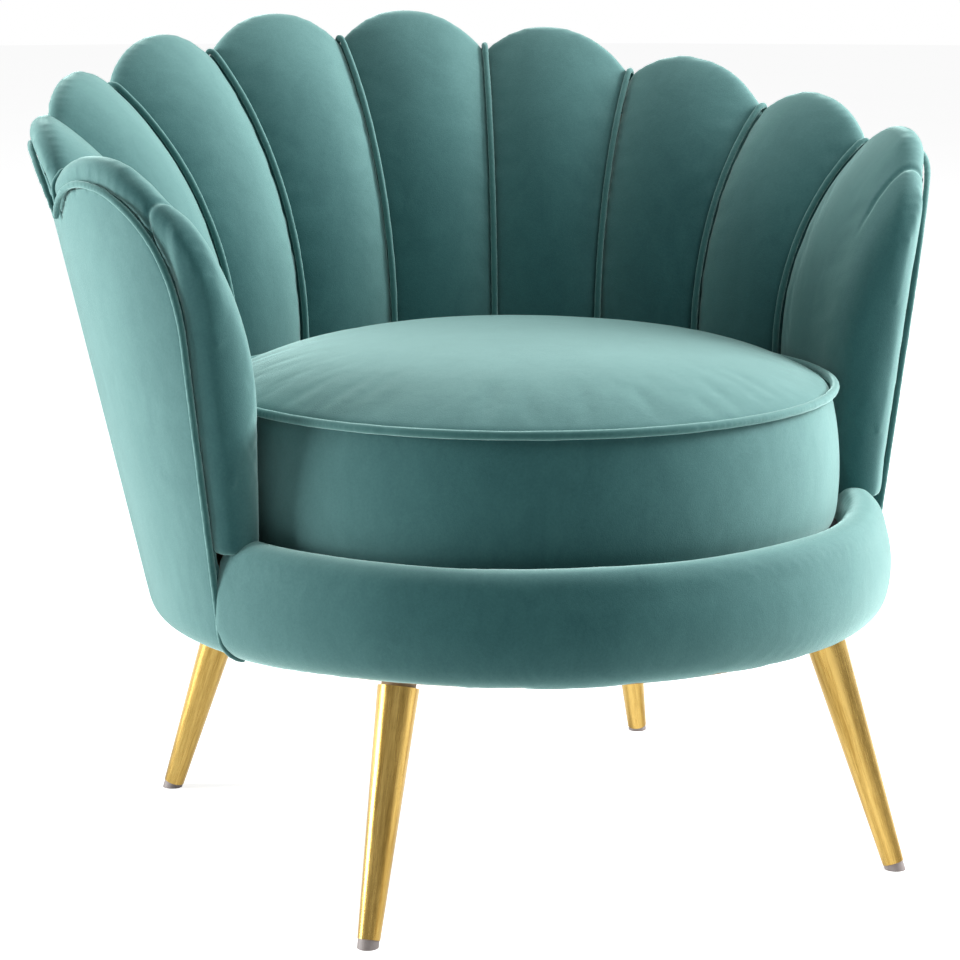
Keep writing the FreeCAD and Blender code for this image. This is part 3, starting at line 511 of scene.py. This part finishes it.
@dataclass(frozen=True)
class BrushedMetal(Finish):
    """Satin metal brushed along its length; the dark and bright streaks of its base colour are
    partly brushing and partly painted reflection.
    """

    dark: tuple[float, float, float] = (0.29, 0.175, 0.038)
    bright: tuple[float, float, float] = (0.60, 0.41, 0.125)
    roughness: float = 0.24
    lines: float = 1800.0
    lean: tuple[float, float, float] = (0.0, 0.0, 0.0)

    def material(self) -> bpy.types.Material:
        """The metal as a material."""
        material, kit, shader, vector = self.start()
        along = kit.stretch(vector, (1.0, 1.0, 1.0), self.lean)
        brushing = self.group(kit, Effects.brushing, along, Lines=self.lines)
        lines = brushing.outputs["Lines"]
        # Partly painted reflection: the streaks mix the base colour between dark and bright along
        # the length.
        kit.link(kit.blend(kit.spread(lines, 0.36, 0.62, 0, 1), self.dark, self.bright),
                 shader.inputs["Base Color"])
        along_lines = kit.spread(lines, 0.3, 0.7, self.roughness - 0.07, self.roughness + 0.05)
        smeared = kit.spread(brushing.outputs["Smears"], 0.3, 0.7, 0.0, 0.07)
        worn = kit.math("ADD", along_lines, smeared)
        kit.link(worn, shader.inputs["Roughness"])
        kit.link(kit.bump(lines, 0.25, 0.0002), shader.inputs["Normal"])
        shader.inputs["Metallic"].default_value = 1.0
        return material


@dataclass(frozen=True)
class Moulded(Finish):
    """Moulded plastic or foam: fine grain, scuffed on its faces."""

    colour: tuple[float, float, float] = (0.3, 0.28, 0.27)
    scuffed: tuple[float, float, float] = (0.4, 0.37, 0.35)
    grain: float = 1400.0
    depth: float = 0.0002

    def material(self) -> bpy.types.Material:
        """The plastic or foam as a material."""
        material, kit, shader, vector = self.start()
        scuff = kit.noise(vector, 60.0, 4.0, 0.65, 0.5)
        kit.link(kit.blend(kit.spread(scuff, 0.35, 0.7, 0, 1), self.colour, self.scuffed),
                 shader.inputs["Base Color"])
        kit.link(kit.spread(scuff, 0.3, 0.7, self.roughness - 0.08, self.roughness + 0.1),
                 shader.inputs["Roughness"])
        pores = kit.noise(vector, self.grain, 3.0, 0.6)
        kit.link(kit.bump(pores, 0.4, self.depth), shader.inputs["Normal"])
        return material


@dataclass(frozen=True)
class Woven(Finish):
    """Plain woven or pressed cloth: lining, dust cloth and webbing."""

    colour: tuple[float, float, float] = (0.02, 0.02, 0.022)
    thread: tuple[float, float, float] = (0.06, 0.06, 0.065)
    threads: float = 500.0
    roughness: float = 0.9

    def material(self) -> bpy.types.Material:
        """The cloth as a material."""
        material, kit, shader, vector = self.start()
        weave = self.group(kit, Effects.weave, vector, Threads=self.threads)
        mixed = kit.math("ADD", kit.math("MULTIPLY", weave.outputs["Weave"], 0.55),
                         kit.spread(weave.outputs["Dust"], 0.3, 0.7, 0.0, 0.45))
        kit.link(kit.blend(mixed, self.colour, self.thread), shader.inputs["Base Color"])
        dusty = kit.spread(weave.outputs["Dust"], 0.3, 0.7, 0.82, 0.95)
        kit.link(dusty, shader.inputs["Roughness"])
        kit.link(kit.bump(weave.outputs["Weave"], 0.5, 0.0004), shader.inputs["Normal"])
        return material


@dataclass(frozen=True)
class Veneer(Finish):
    """Birch plywood: pale grain with darker rings."""

    pale: tuple[float, float, float] = (0.62, 0.45, 0.27)
    ring: tuple[float, float, float] = (0.42, 0.27, 0.14)
    roughness: float = 0.62

    def material(self) -> bpy.types.Material:
        """The plywood as a material."""
        material, kit, shader, vector = self.start()
        grain = self.group(kit, Effects.grain, vector)
        mixed = kit.math("ADD", kit.spread(grain.outputs["Grain"], 0.35, 0.65, 0, 0.7),
                         kit.math("MULTIPLY", grain.outputs["Fibre"], 0.3))
        kit.link(kit.blend(mixed, self.pale, self.ring), shader.inputs["Base Color"])
        dry = kit.spread(grain.outputs["Fibre"], 0.3, 0.7, 0.55, 0.7)
        kit.link(dry, shader.inputs["Roughness"])
        kit.link(kit.bump(grain.outputs["Fibre"], 0.3, 0.0002), shader.inputs["Normal"])
        return material


# Padding
@dataclass
class Padded:
    """One stuffed piece: its source nodes, how it is meshed, and how it swells."""

    nodes: tuple[str, ...]
    name: str
    voxel: float
    cap: float
    relax: int = 6
    fill: float = 0.8
    body: Body = Body.CHAIR
    pressure: float = 4.0
    holds: Shape | None = None
    piece: bpy.types.Object = field(init=False)
    rest: np.ndarray = field(init=False)

    def build(self) -> None:
        """Mesh the piece from its nodes, and hang the cloth on it unless its cap is 0."""
        self.piece = taken_from(self.nodes, self.name)
        remesh(self.piece, self.voxel, self.relax)
        self.rest = coordinates(self.piece)
        if self.cap:
            self.hang()

    def hang(self) -> None:
        """Add the cloth that pressure will swell, held where the piece is sewn."""
        cloth = self.piece.modifiers.new("swell", "CLOTH")
        settings = cloth.settings
        settings.quality = 4
        settings.use_pressure = True
        settings.uniform_pressure_force = self.pressure
        settings.effector_weights.gravity = 0.0
        cloth.collision_settings.use_collision = False
        cloth.collision_settings.use_self_collision = False
        cloth.point_cache.frame_start = 1
        cloth.point_cache.frame_end = Upholstery.frames
        if self.holds is not None:
            held = self.piece.vertex_groups.new(name="sewn")
            weights = self.holds(self.rest, normals(self.piece))
            for index in np.flatnonzero(weights > 0.01):
                held.add([int(index)], float(weights[index]), "REPLACE")
            settings.vertex_group_mass = "sewn"

    def settle(self, points: np.ndarray) -> None:
        """Keep the swollen form, no point further than the cap from its rest."""
        moved = points - self.rest
        reach = np.linalg.norm(moved, axis=1, keepdims=True)
        kept = moved * np.minimum(1.0, self.cap / np.maximum(reach, 1e-9))
        self.piece.modifiers.remove(self.piece.modifiers["swell"])
        self.piece.vertex_groups.clear()
        place(self.piece, self.rest + kept)


@dataclass
class Upholstery:
    """All padded pieces. Those with a cap above 0 are swollen together."""

    pads: list[Padded] = field(default_factory=list)
    frames = 20

    def add(self, pad: Padded) -> Padded:
        """Build a pad and keep it for the swelling."""
        pad.build()
        self.pads.append(pad)
        return pad

    def swell(self) -> None:
        """Run the cloth of all pads in one go and keep its result."""
        waiting = [pad for pad in self.pads if "swell" in pad.piece.modifiers]
        if not waiting:
            return
        scene = bpy.context.scene
        scene.frame_start, scene.frame_end = 1, self.frames
        for step in range(1, self.frames + 1):
            scene.frame_set(step)
        depsgraph = bpy.context.evaluated_depsgraph_get()
        results = []
        for pad in waiting:
            shape = pad.piece.evaluated_get(depsgraph).to_mesh()
            points = np.empty(len(shape.vertices) * 3)
            shape.vertices.foreach_get("co", points)
            results.append(points.reshape(-1, 3))
        for pad, points in zip(waiting, results):
            pad.settle(points)
        scene.frame_set(1)


def sign_off(piece: bpy.types.Object, body: Body, nodes: Iterable[str],
             material: bpy.types.Material) -> None:
    """Dress a piece, let it ride and say what it stands for.

    Args:
        piece: The finished piece.
        body: Body that it moves with.
        nodes: Nodes that it replaces.
        material: Its finish.
    """
    piece.data.materials.clear()
    piece.data.materials.append(material)
    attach(piece, body.value)
    names = tuple(nodes)
    if names:
        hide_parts(*names)
    log.info("%s: %d faces for %s", piece.name, len(piece.data.polygons), ", ".join(names))


# Sub-assemblies
@dataclass
class Shell:
    """The fluted back and arms: ten channels, their piping, the arm fronts and the outside."""

    middle: float
    channels: int = 10
    channel_angle: float = 20.0
    arm_end_angle: float = 101.5
    channel_voxel: float = 0.005
    channel_cap: float = 0.005
    arm_voxel: float = 0.0042
    arm_cap: float = 0.005
    rail_top: float = 0.3125
    corner_from: float = 86.0
    corner_step: float = 0.5
    roll_foot: float = 0.42
    joint_near: float = 0.012
    joint_far: float = 0.034
    joint_rounds: int = 36
    foot_drop: float = 0.013
    edge_fill: float = 0.0026
    groove_depth: float = 0.0022
    groove_width: float = 0.0028
    pads: list[Padded] = field(default_factory=list)
    outside: Padded = field(init=False)

    def bearing(self, points: np.ndarray) -> np.ndarray:
        """Angle of points round the shell's axis, in degrees from the back's middle."""
        return np.degrees(np.arctan2(points[:, 0], points[:, 1] - self.middle))

    def reach(self, points: np.ndarray) -> np.ndarray:
        """Distance of points from the shell's axis."""
        return np.hypot(points[:, 0], points[:, 1] - self.middle)

    def outward(self, points: np.ndarray, facing: np.ndarray) -> np.ndarray:
        """How far normals point away from the shell's axis, -1 to 1."""
        along = points[:, 0] * facing[:, 0] + (points[:, 1] - self.middle) * facing[:, 1]
        return along / self.reach(points)

    def seams(self, number: int) -> tuple[float, float]:
        """Angles of a channel's two sides."""
        left = (number - 1 - self.channels / 2) * self.channel_angle
        right = left + self.channel_angle
        return left if number > 1 else -180.0, right if number < self.channels else 180.0

    def channel_hold(self, number: int) -> Shape:
        """Where a channel is sewn: along its sides, at its foot and on its back."""
        left, right = self.seams(number)

        def holds(points: np.ndarray, facing: np.ndarray) -> np.ndarray:
            angle = self.bearing(points)
            edge = np.minimum(angle - left, right - angle) * math.radians(1) * self.reach(points)
            sides = 1 - smoothstep(0.004, 0.016, edge)
            away = smoothstep(0.2, 0.6, self.outward(points, facing))
            back = away * (1 - smoothstep(0.55, 0.60, points[:, 2]))
            foot = 1 - smoothstep(0.27, 0.29, points[:, 2])
            return np.maximum(np.maximum(sides, back), foot)

        return holds

    def pad_channels(self, upholstery: Upholstery) -> None:
        """The eight crowned flutes between the arms."""
        for number in range(2, self.channels):
            self.pads.append(upholstery.add(Padded(
                ("channel_%d" % number,), "flute_%d" % number, self.channel_voxel, self.channel_cap,
                fill=0.8, holds=self.channel_hold(number))))

    def pad_arms(self, upholstery: Upholstery) -> None:
        """The two arms: the outermost flute with the rounded front that carries it on."""
        for side, number in ((Side.LEFT, 1), (Side.RIGHT, self.channels)):
            label = side.name.lower()
            self.pads.append(upholstery.add(Padded(
                ("channel_%d" % number, "arm_front_%s" % label), "arm_%s" % label,
                self.arm_voxel, self.arm_cap, fill=0.85, holds=self.channel_hold(number))))

    def pad_outside(self, upholstery: Upholstery) -> None:
        """The padded skin round the outside."""
        self.outside = upholstery.add(Padded(
            ("outside_cover",), "outside_back", 0.0035, 0.0, relax=4, fill=0.4))

    def crease(self, points: np.ndarray, facing: np.ndarray) -> np.ndarray:
        """Small pulls of the velvet beside each channel seam.

        Args:
            points: Points of a channel.
            facing: Their normals; not used.

        Returns:
            How far each point moves along its normal, in metres.
        """
        angle = self.bearing(points)
        half = self.channel_angle / 2
        beside = np.abs((angle + half) % self.channel_angle - half)
        near = 1 - smoothstep(0.01, 0.035, beside * math.radians(1) * self.reach(points))
        stretched = points * np.array([0.35, 0.35, 1.0])
        folds = roughen(stretched, 70.0, 3.0)
        slow = roughen(points, 9.0, 11.0)
        return 0.0007 * near * folds + 0.0008 * slow

    def fill_corner(self, pad: Padded) -> None:
        """Lift an arm's roll to one full curve from its crest over its corner to its front."""
        points, facing = coordinates(pad.piece), normals(pad.piece)
        angle = np.abs(self.bearing(points))
        steps = np.arange(self.corner_from, angle.max(), self.corner_step)
        crest = np.array([points[np.abs(angle - step) < self.corner_step, 2].max()
                          for step in steps])
        full = crest.copy()
        for first in range(len(steps)):
            for last in range(first + 2, len(steps)):
                share = (steps[first:last + 1] - steps[first]) / (steps[last] - steps[first])
                chord = crest[first] + share * (crest[last] - crest[first])
                full[first:last + 1] = np.maximum(full[first:last + 1], chord)
        lift = np.convolve(np.pad(full - crest, 4, mode="edge"), np.ones(9) / 9, mode="valid")
        raised = np.interp(angle, steps, lift, left=0.0, right=0.0)
        top = np.interp(angle, steps, crest, left=1.0)
        inner = 1 - smoothstep(0.1, 0.8, self.outward(points, facing))
        height = np.maximum(top - self.roll_foot, 0.01)
        share = np.clip((points[:, 2] - self.roll_foot) / height, 0, 1)
        points[:, 2] += raised * inner * share ** 1.5
        place(pad.piece, points)

    def even_out(self, pad: Padded) -> None:
        """Make an arm one surface over the joint between its flute and its front."""
        points = coordinates(pad.piece)
        apart = np.abs(np.abs(self.bearing(points)) - self.arm_end_angle)
        along = apart * math.radians(1) * self.reach(points)
        weights = 1 - smoothstep(self.joint_near, self.joint_far, along)
        calm_down(pad.piece, weights, self.joint_rounds)

    def seat_arm(self, pad: Padded) -> None:
        """Set an arm's foot on the rail, fill it out to its piping and draw in its short seam."""
        points, facing = coordinates(pad.piece), normals(pad.piece)
        angle = np.abs(self.bearing(points))
        front = smoothstep(self.arm_end_angle - 3, self.arm_end_angle, angle)
        foot = 1 - smoothstep(self.rail_top + 0.002, self.rail_top + 0.03, points[:, 2])
        points[:, 2] -= self.foot_drop * front * foot
        reach = self.reach(points)
        past = smoothstep(self.arm_end_angle + 2.5, self.arm_end_angle + 4.5, angle)
        fuller = self.edge_fill * past * smoothstep(0.0, 0.7, self.outward(points, facing))
        points[:, 0] *= 1 + fuller / reach
        points[:, 1] = self.middle + (points[:, 1] - self.middle) * (1 + fuller / reach)
        apart = np.abs(angle - self.arm_end_angle) * math.radians(1) * self.reach(points)
        high = smoothstep(0.53, 0.57, points[:, 2])
        groove = np.exp(-(apart / self.groove_width) ** 2) * high
        place(pad.piece, points - facing * (self.groove_depth * groove)[:, None])

    def finish(self, velvet: bpy.types.Material) -> None:
        """Refine and dress the pads."""
        for pad in self.pads:
            piece = pad.piece
            if len(pad.nodes) > 1:
                self.fill_corner(pad)
                self.even_out(pad)
            points, facing = coordinates(piece), normals(piece)
            place(piece, points + facing * self.crease(points, facing)[:, None])
            refine(piece)
            if len(pad.nodes) > 1:
                self.seat_arm(pad)
        for pad in (*self.pads, self.outside):
            shade(pad.piece, 70)
            sign_off(pad.piece, Body.CHAIR, pad.nodes, velvet)


@dataclass
class Piping:
    """Round velvet piping, one piece per run of it."""

    middle: float
    voxel: float = 0.0014
    relax: int = 8
    tuck: float = 0.0055
    close: float = 0.0024
    seams: int = 9

    def tuck_in(self, piece: bpy.types.Object) -> None:
        """Sink a seam's piping where it runs down the outside, between the rolls beside it."""
        points = coordinates(piece)
        x, y = points[:, 0], points[:, 1] - self.middle
        reach = np.hypot(x, y)
        summit = reach[np.argmax(points[:, 2])]
        beyond = smoothstep(summit, summit + 0.014, reach) * (points[:, 2] > 0.5)
        pulled = 1 - self.tuck * beyond / reach
        points[:, 0] = x * pulled
        points[:, 1] = y * pulled + self.middle
        place(piece, points)

    def draw_close(self, piece: bpy.types.Object) -> None:
        """Draw the outline's piping into the joint down the front of each arm."""
        points = coordinates(piece)
        x, y = points[:, 0], points[:, 1] - self.middle
        reach = np.hypot(x, y)
        angle = np.abs(np.degrees(np.arctan2(x, y)))
        front = smoothstep(97.0, 104.5, angle)
        pulled = 1 - self.close * front / reach
        points[:, 0] = x * pulled
        points[:, 1] = y * pulled + self.middle
        points[:, 2] += 0.002 * front * (1 - smoothstep(0.20, 0.24, points[:, 2]))
        place(piece, points)

    def run(self, node: str, name: str, body: Body, material: bpy.types.Material) -> None:
        """Round off one run of piping.

        Args:
            node: The node it stands for.
            name: Name of the piece.
            body: Body that it moves with.
            material: Its finish.
        """
        piece = taken_from((node,), name)
        remesh(piece, self.voxel, self.relax)
        points, facing = coordinates(piece), normals(piece)
        waver = 0.00025 * roughen(points, 55.0, 5.0)
        place(piece, points + facing * (0.0002 + waver)[:, None])
        if node.startswith("channel"):
            self.tuck_in(piece)
        if node.startswith("outline"):
            self.draw_close(piece)
        shade(piece, 80)
        sign_off(piece, body, [node], material)

    def build(self, material: bpy.types.Material) -> None:
        """All runs: the channel seams, the outline and the cushion's edge."""
        for number in range(1, self.seams + 1):
            self.run("channel_welt_%d" % number, "seam_piping_%d" % number, Body.CHAIR, material)
        self.run("outline_welt", "outline_piping", Body.CHAIR, material)
        self.run("cushion_welt", "cushion_piping", Body.CUSHION, material)


@dataclass
class SeatCushion:
    """The loose round cushion with its crowned top and gathered edge."""

    voxel: float = 0.006
    cap: float = 0.004
    middle: Vector = field(init=False)
    ring: float = field(init=False)
    pad: Padded = field(init=False)

    def build(self, upholstery: Upholstery) -> None:
        """Mesh the cushion, held along its piping and where it rests."""
        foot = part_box("seat_cushion")[0].z
        ring_low, ring_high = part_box("cushion_welt")
        self.middle = (ring_low + ring_high) / 2
        self.ring = (ring_high.x - ring_low.x) / 2

        def holds(points: np.ndarray, facing: np.ndarray) -> np.ndarray:
            off = np.hypot(points[:, 0] - self.middle.x, points[:, 1] - self.middle.y)
            along = np.hypot(off - self.ring, points[:, 2] - self.middle.z)
            piping = 1 - smoothstep(0.006, 0.02, along)
            under = 1 - smoothstep(foot + 0.001, foot + 0.006, points[:, 2])
            return np.maximum(piping, under)

        self.pad = upholstery.add(Padded(("seat_cushion",), "seat_pad", self.voxel, self.cap,
                                         body=Body.CUSHION, fill=0.85, holds=holds))

    def gathers(self, points: np.ndarray) -> np.ndarray:
        """Small tucks that fan out from the piping.

        Args:
            points: Points of the cushion.

        Returns:
            How far each point moves along its normal, in metres.
        """
        x, y = points[:, 0] - self.middle.x, points[:, 1] - self.middle.y
        turn = np.arctan2(y, x)
        off = np.hypot(x, y)
        near = np.exp(-np.hypot(off - self.ring, points[:, 2] - self.middle.z) / 0.014)
        ring = np.column_stack((np.cos(turn), np.sin(turn), np.zeros_like(turn)))
        fold = roughen(ring, 14.0, 2.0) * roughen(ring, 4.0, 7.0)
        return 0.0022 * near * fold + 0.0012 * roughen(points, 6.0, 21.0)

    def finish(self, velvet: bpy.types.Material) -> None:
        """Gather, refine and dress the cushion."""
        piece = self.pad.piece
        calm_down(piece, np.ones(len(piece.data.vertices)), 5)
        points, facing = coordinates(piece), normals(piece)
        resting = smoothstep(0.29, 0.30, points[:, 2])
        place(piece, points + facing * (self.gathers(points) * resting)[:, None])
        refine(piece)
        shade(piece, 80)
        sign_off(piece, Body.CUSHION, ["seat_cushion"], velvet)


@dataclass
class FrontRail:
    """The puffy band round the front of the seat."""

    middle: float
    voxel: float = 0.005
    cap: float = 0.003
    stretch: float = 0.010
    pad: Padded = field(init=False)

    def build(self, upholstery: Upholstery) -> None:
        """Mesh the rail's pad."""
        self.pad = upholstery.add(Padded(("front_rail_pad",), "front_rail", self.voxel, self.cap,
                                         fill=0.85))

    def finish(self, velvet: bpy.types.Material) -> None:
        """Refine and dress the rail."""
        piece = self.pad.piece
        points, facing = coordinates(piece), normals(piece)
        slow = 0.001 * roughen(points, 7.0, 31.0)
        points += facing * slow[:, None]
        x, y = points[:, 0], points[:, 1] - self.middle
        reach = np.hypot(x, y)
        angle = np.arctan2(x, y)
        last = np.abs(angle).min()
        end = 1 - smoothstep(last, last + math.radians(7), np.abs(angle))
        turned = angle - np.sign(angle) * self.stretch * end / reach
        points[:, 0] = reach * np.sin(turned)
        points[:, 1] = reach * np.cos(turned) + self.middle
        place(piece, points)
        refine(piece)
        shade(piece, 70)
        sign_off(piece, Body.CHAIR, ["front_rail_pad"], velvet)


@dataclass
class SeatDeck:
    """Cloths that close the seat: the deck cloth under the cushion and the dust cloth below."""

    rings: int = 8
    ring_share: float = 0.085

    def cloth(self, node: str, name: str, material: bpy.types.Material) -> None:
        """A flat round sheet, held stretched, in a node's place.

        Args:
            node: The node it stands for.
            name: Name of the piece.
            material: Its finish.
        """
        low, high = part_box(node)
        radius = (high.x - low.x) / 2
        middle = (low + high) / 2
        only(NODES[node])
        NODES[node].select_set(False)
        bpy.ops.mesh.primitive_circle_add(vertices=96, radius=radius, fill_type="NGON",
                                          location=(middle.x, middle.y, high.z))
        piece = bpy.context.object
        piece.name = piece.data.name = name
        bpy.ops.object.mode_set(mode="EDIT")
        for _ in range(self.rings):
            bpy.ops.mesh.inset(thickness=radius * self.ring_share, depth=0)
        bpy.ops.object.mode_set(mode="OBJECT")
        bpy.ops.object.transform_apply(location=True, rotation=True, scale=True)
        thick = piece.modifiers.new("thick", "SOLIDIFY")
        thick.thickness = high.z - low.z
        thick.offset = -1
        apply(piece, "thick")
        shade(piece, 40)
        sign_off(piece, Body.CHAIR, [node], material)


@dataclass
class Legs:
    """Four splayed tapered legs, each with brushing and painted reflection streaks along its own
    length.
    """

    lean: float = 18.6

    def build(self) -> None:
        """Give each leg its metal."""
        corners = {"front_left": 225, "front_right": 315, "back_right": 45, "back_left": 135}
        for name, bearing in corners.items():
            low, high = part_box("leg_" + name)
            turn = (0.0, -math.radians(self.lean), math.radians(bearing))
            finish = BrushedMetal("gold_leg_" + name, lean=turn)
            dress("leg_" + name, finish.material())
            log.info("leg_%s: %.0f mm high", name, 1000 * (high.z - low.z))


def dress(node: str, material: bpy.types.Material) -> None:
    """Give a node that stays in view a better material."""
    for slot in NODES[node].material_slots:
        slot.material = material


@dataclass
class HiddenFrame:
    """Boards, ribs, webbing, foam and hardware inside the chair."""

    def build(self) -> None:
        """Dress every node but the legs by what its name says it is."""
        finishes = {
            Slot.PLYWOOD: Veneer("birch_plywood"),
            Slot.STEEL: BrushedMetal("zinc_steel", 0.35, (0.32, 0.33, 0.34), (0.62, 0.63, 0.64)),
            Slot.BRASS: BrushedMetal("insert_brass", 0.3, (0.35, 0.24, 0.08), (0.72, 0.56, 0.26)),
            Slot.WEBBING: Woven("elastic_webbing", colour=(0.28, 0.25, 0.2),
                                thread=(0.5, 0.46, 0.38)),
            Slot.LINING: Woven("black_lining"),
            Slot.FOAM: Moulded("upholstery_foam", 0.9, (0.62, 0.57, 0.40), (0.72, 0.68, 0.52),
                               500.0, 0.0006),
            Slot.GLIDE: Moulded("glide_plastic", 0.5, (0.28, 0.24, 0.23), (0.36, 0.32, 0.31)),
        }
        made = {slot: finish.material() for slot, finish in finishes.items()}
        for name in NODES:
            if not name.startswith("leg_") or name in ("leg_studs", "leg_plugs"):
                dress(name, made[self.guess(name)])

    def guess(self, name: str) -> Slot:
        """Slot of a node by what its name says it is.

        Args:
            name: Name of the node.

        Returns:
            The slot whose finish it gets.
        """
        words = {
            "stud": Slot.STEEL, "insert": Slot.BRASS, "plug": Slot.STEEL, "webbing": Slot.WEBBING,
            "dust": Slot.LINING, "cloth": Slot.LINING, "foam": Slot.FOAM, "pad": Slot.FOAM,
            "glide": Slot.GLIDE,
        }
        for word, slot in words.items():
            if word in name:
                return slot
        return Slot.PLYWOOD


@dataclass(frozen=True)
class Lamp:
    """A square soft light: its name, place, width in metres and power in watts."""

    name: str
    place: tuple[float, float, float]
    size: float
    power: float


@dataclass
class Studio:
    """Pale floor, soft lights and the camera at the photograph's angle."""

    axis: float
    azimuth: float = -24.0546
    elevation: float = 10.9642
    lens: float = 115.7318
    eye: tuple[float, float, float] = (-1.1418, -2.4722, 0.8509)
    target: tuple[float, float, float] = (0, 0, 0.45)
    floor_glow: float = 0.78
    ambient: float = 0.21
    reflected: float = 0.55
    lamps: tuple[Lamp, ...] = (
        Lamp("right_window", (3.1, -0.5, 2.0), 1.6, 176),
        Lamp("left_strip", (-3.0, 1.1, 0.7), 1.3, 108),
        Lamp("overhead", (0.7, -1.3, 3.0), 2.2, 36),
    )

    def floor(self) -> None:
        """A wide pale floor that shows white and keeps the chair's shadow."""
        bpy.ops.mesh.primitive_circle_add(vertices=64, radius=14, fill_type="NGON",
                                          location=(0, 0, 0))
        floor = bpy.context.object
        floor.name = "floor"
        material = bpy.data.materials.new("pale_floor")
        material.use_nodes = True
        kit = NodeKit(material.node_tree)
        diffuse = kit.node("ShaderNodeBsdfDiffuse")
        tone = kit.noise(kit.node("ShaderNodeTexCoord").outputs["Object"], 3.0, 2.0, 0.5)
        kit.link(kit.blend(tone, (0.80, 0.80, 0.80), (0.84, 0.84, 0.84)), diffuse.inputs["Color"])
        glow = kit.node("ShaderNodeEmission")
        seen = kit.node("ShaderNodeLightPath")
        either = kit.math("MAXIMUM", seen.outputs["Is Camera Ray"], seen.outputs["Is Glossy Ray"])
        kit.link(kit.math("MULTIPLY", either, self.floor_glow), glow.inputs["Strength"])
        total = kit.node("ShaderNodeAddShader")
        kit.link(diffuse.outputs[0], total.inputs[0])
        kit.link(glow.outputs[0], total.inputs[1])
        kit.link(total.outputs[0], kit.node("ShaderNodeOutputMaterial").inputs["Surface"])
        floor.data.materials.append(material)

    def world(self) -> None:
        """A dim world that the camera sees as white and gloss as pale grey."""
        world = bpy.data.worlds.new("studio")
        bpy.context.scene.world = world
        world.use_nodes = True
        kit = NodeKit(world.node_tree)
        seen = kit.node("ShaderNodeLightPath")
        either = kit.math("MAXIMUM", seen.outputs["Is Camera Ray"],
                          seen.outputs["Is Transmission Ray"])
        gloss = kit.math("MULTIPLY", seen.outputs["Is Glossy Ray"], self.reflected)
        level = kit.math("MAXIMUM", either, gloss)
        back = kit.node("ShaderNodeBackground")
        back.inputs["Color"].default_value = (1, 1, 1, 1)
        kit.link(kit.math("MAXIMUM", level, self.ambient), back.inputs["Strength"])
        kit.link(back.outputs[0], kit.node("ShaderNodeOutputWorld").inputs["Surface"])

    def light(self, lamp: Lamp) -> None:
        """Hang one lamp and aim it at the chair."""
        data = bpy.data.lights.new(lamp.name, "AREA")
        data.shape = "SQUARE"
        data.size = lamp.size
        data.energy = lamp.power
        hung = bpy.data.objects.new(lamp.name, data)
        hung.location = lamp.place
        toward = Vector(self.target) - Vector(lamp.place)
        hung.rotation_euler = toward.to_track_quat("-Z", "Y").to_euler()
        bpy.context.scene.collection.objects.link(hung)

    def camera(self) -> None:
        """The camera where the photograph was taken from."""
        data = bpy.data.cameras.new("camera")
        data.lens = self.lens
        data.sensor_width = 36.0
        data.sensor_fit = "HORIZONTAL"
        data.clip_end = 60
        camera = bpy.data.objects.new("camera", data)
        turn, tilt = math.radians(self.azimuth), math.radians(self.elevation)
        camera.location = (self.eye[0], self.eye[1] + self.axis, self.eye[2])
        look = Vector((-math.sin(turn) * math.cos(tilt), math.cos(turn) * math.cos(tilt),
                       -math.sin(tilt)))
        camera.rotation_euler = look.to_track_quat("-Z", "Y").to_euler()
        bpy.context.scene.collection.objects.link(camera)
        bpy.context.scene.camera = camera

    def build(self) -> None:
        """Set the whole studio up."""
        self.floor()
        self.world()
        for lamp in self.lamps:
            self.light(lamp)
        self.camera()
        bpy.context.scene.view_settings.view_transform = "Standard"


def main() -> None:
    """Build the chair's looks in order and report each piece."""
    logging.basicConfig(level=logging.INFO, format="%(message)s")
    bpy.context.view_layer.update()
    low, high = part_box("base_board")
    middle = (low.y + high.y) / 2
    Studio(middle).build()
    Effects.build()
    velvet = Velvet("teal_velvet").material()
    piping = Velvet("piping_velvet", deep=(0.030, 0.108, 0.106), brushed=(0.052, 0.165, 0.158),
                    marks=90.0, pile_depth=0.0003).material()
    HiddenFrame().build()
    Legs().build()

    upholstery = Upholstery()
    shell = Shell(middle)
    shell.pad_channels(upholstery)
    shell.pad_arms(upholstery)
    shell.pad_outside(upholstery)
    rail = FrontRail(middle)
    rail.build(upholstery)
    cushion = SeatCushion()
    cushion.build(upholstery)
    upholstery.swell()
    shell.finish(velvet)
    rail.finish(velvet)
    cushion.finish(velvet)
    Piping(middle).build(piping)
    lining = Woven("black_dust_cloth").material()
    deck = SeatDeck()
    deck.cloth("dust_cover", "dust_cloth", lining)
    deck.cloth("deck_cloth", "deck_top_cloth", lining)


if __name__ == "__main__":
    main()
